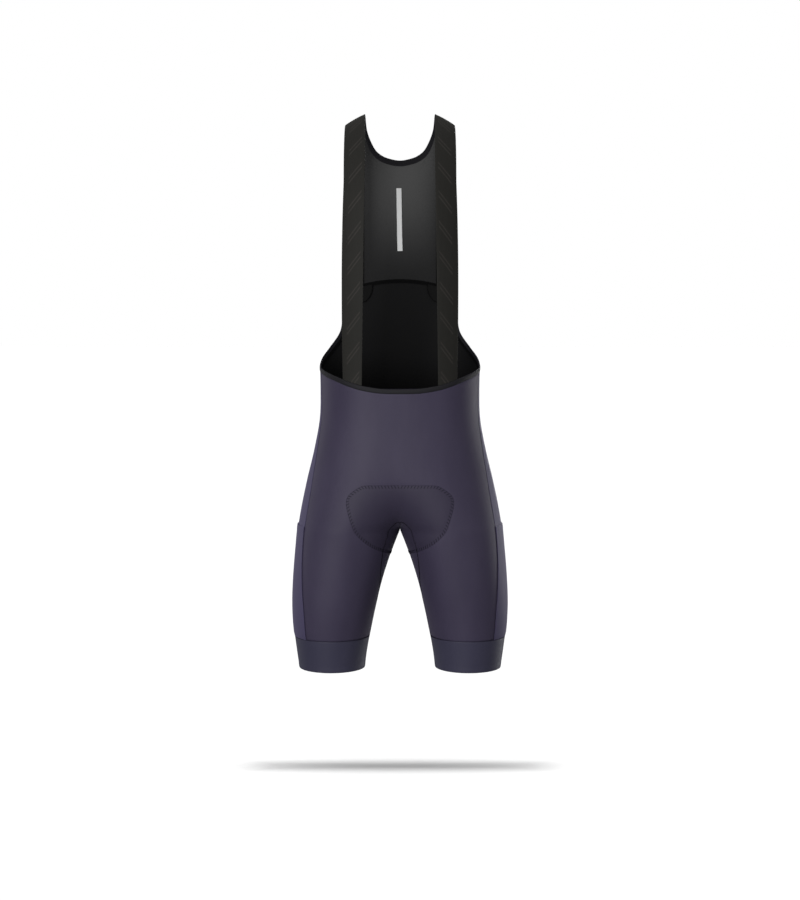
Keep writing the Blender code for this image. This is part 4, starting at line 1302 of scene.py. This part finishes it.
for end in ("_left", "_right"):
    CUTS += [
        ("strap" + end, 0.036, 0.785, 0.0282, "stretched", ["waist_binding", "lower_back_panel"], []),
        ("back_tab" + end, 0.048, 0.036, 0.0013, "laid", ["lower_back_panel", "strap" + end],
         ["tab_stitches" + end]),
        ("side_panel" + end, 0.104, 0.480, 0.0391, "stretched", ["waist_binding"],
         ["side_seam_stitches" + end]),
        ("inner_leg_panel" + end, 0.138, 0.236, 0.0174, "stretched", LEG_SEAMS,
         ["inner_seam_stitches" + end]),
        ("leg_pocket" + end, 0.105, 0.199, 0.0206, "laid", ["side_panel" + end], []),
        ("leg_gripper" + end, 0.397, 0.058, 0.0218, "stretched", LEG_SEAMS,
         ["gripper_tape" + end, "gripper_stitches" + end]),
    ]


# ---------------- floor, light and camera
FLOOR = -1.138
CARD = (0.275, 0.024, 0.150)  # half width, half depth, and height over the floor
AMBIENT = (0.17, 0.32)  # light from below and from above, next to the white that the camera sees
OVERHEAD = 3.2
LAMPS = (
    # name, kind, place, target, power, width and height in metres or the sun's angle
    ("key", "AREA", (-1.3, -2.9, -0.2), (0, 0, -0.6), 73, (1.5, 1.9)),
    ("fill", "AREA", (1.9, -2.3, -0.7), (0, 0, -0.6), 9, (1.0, 1.8)),
    ("rim left", "AREA", (-1.8, 1.3, -0.6), (0, 0, -0.65), 5.0, (0.5, 1.8)),
    ("rim right", "AREA", (1.8, 1.3, -1.1), (0, 0, -0.8), 21, (0.5, 1.5)),
    ("back", "AREA", (0.6, 3.4, -0.1), (0, 0, -0.5), 60, (1.4, 1.8)),
    ("top", "SUN", (0, 0, 2), (0, 0, 0), 0.5, math.radians(40)),
)


def staged(name, shape, height, material):
    """A piece of the studio from a level bmesh shape, at a height."""
    bmesh.ops.translate(shape, verts=shape.verts[:], vec=(0, 0, height))
    piece = placed(name, meshed(name, shape, material))
    piece.visible_diffuse = piece.visible_glossy = False
    return piece


def add_backdrop():
    """A plain pale floor below."""
    paper = bpy.data.materials.new("white paper")
    paper.use_nodes = True
    shader = paper.node_tree.nodes["Principled BSDF"]
    shader.inputs["Base Color"].default_value = (0.8, 0.8, 0.8, 1)
    shader.inputs["Roughness"].default_value = 1.0
    shader.inputs["Specular IOR Level"].default_value = 0.0
    ground = bmesh.new()
    bmesh.ops.create_grid(ground, x_segments=1, y_segments=1, size=30)
    return staged("floor", ground, FLOOR, paper)


def add_card():
    """A card that no camera sees. It alone shades the floor from the lamp overhead, in one thin soft line."""
    shade = bmesh.new()
    bmesh.ops.create_circle(shade, cap_ends=True, segments=64, radius=1.0)
    bmesh.ops.scale(shade, verts=shade.verts[:], vec=(CARD[0], CARD[1], 1))
    card = staged("shadow_card", shade, FLOOR + CARD[2], bpy.data.materials.new("black card"))
    card.visible_camera = card.visible_transmission = False
    return card


def add_light(name, kind, place, target, power, size):
    lamp = bpy.data.lights.new(name, kind)
    lamp.energy = power
    if kind == "AREA":
        lamp.shape = "RECTANGLE"
        lamp.size, lamp.size_y = size
    else:
        lamp.angle = size
    made = placed(name, lamp)
    made.location = place
    x, y, z = np.array(target) - np.array(place)
    made.rotation_euler = (math.atan2(math.hypot(x, y), -z), 0, math.atan2(-x, y))
    made.visible_camera = False
    return made


def add_surroundings():
    """Even light all round, fainter than the white that the camera sees."""
    world = bpy.data.worlds.new("white studio")
    bpy.context.scene.world = world
    world.use_nodes = True
    tree = world.node_tree
    back = tree.nodes["Background"]
    seen = add(tree, "LightPath", output="Is Camera Ray")
    way = add(tree, "TexCoord", output="Generated")
    upward = add(tree, "SeparateXYZ", (way,), output="Z")
    around = add(tree, "MapRange", (upward, -0.6, 0.6, *AMBIENT))
    strength = add(tree, "MapRange", (seen, 0.0, 1.0, around, 1.0))
    back.inputs["Color"].default_value = (1, 1, 1, 1)
    tree.links.new(strength, back.inputs["Strength"])


def add_lamps(floor, card):
    """Soft lamps that leave out the floor, and one overhead for the floor alone."""
    off_floor = bpy.data.collections.new("all but the floor")
    off_floor.objects.link(floor)
    off_floor.collection_objects[0].light_linking.link_state = "EXCLUDE"
    for lamp in LAMPS:
        add_light(*lamp).light_linking.receiver_collection = off_floor
    overhead = add_light("overhead", "SUN", (0, 0, 2), (0, 0, 0), OVERHEAD, math.radians(28))
    for role, piece in (("receiver_collection", floor), ("blocker_collection", card)):
        alone = bpy.data.collections.new(f"overhead {role}")
        alone.objects.link(piece)
        setattr(overhead.light_linking, role, alone)


def add_camera():
    scene = bpy.context.scene
    lens = bpy.data.cameras.new("camera")
    lens.lens, lens.sensor_width = 75, 36
    camera = placed("camera", lens)
    camera.location = (0, -3.28, -0.312)
    camera.rotation_euler = (math.radians(85.43), 0, 0)
    scene.camera = camera
    scene.view_settings.view_transform = "Standard"


add_surroundings()
add_lamps(add_backdrop(), add_card())
add_camera()
add_front_and_seat()
add_legs()
add_waist_binding()
add_lower_back()
add_neck_binding()
add_upper_back()
add_straps()
add_back_tabs()
add_loop_label()
add_seat_pad()
add_tapes()
add_stitches()
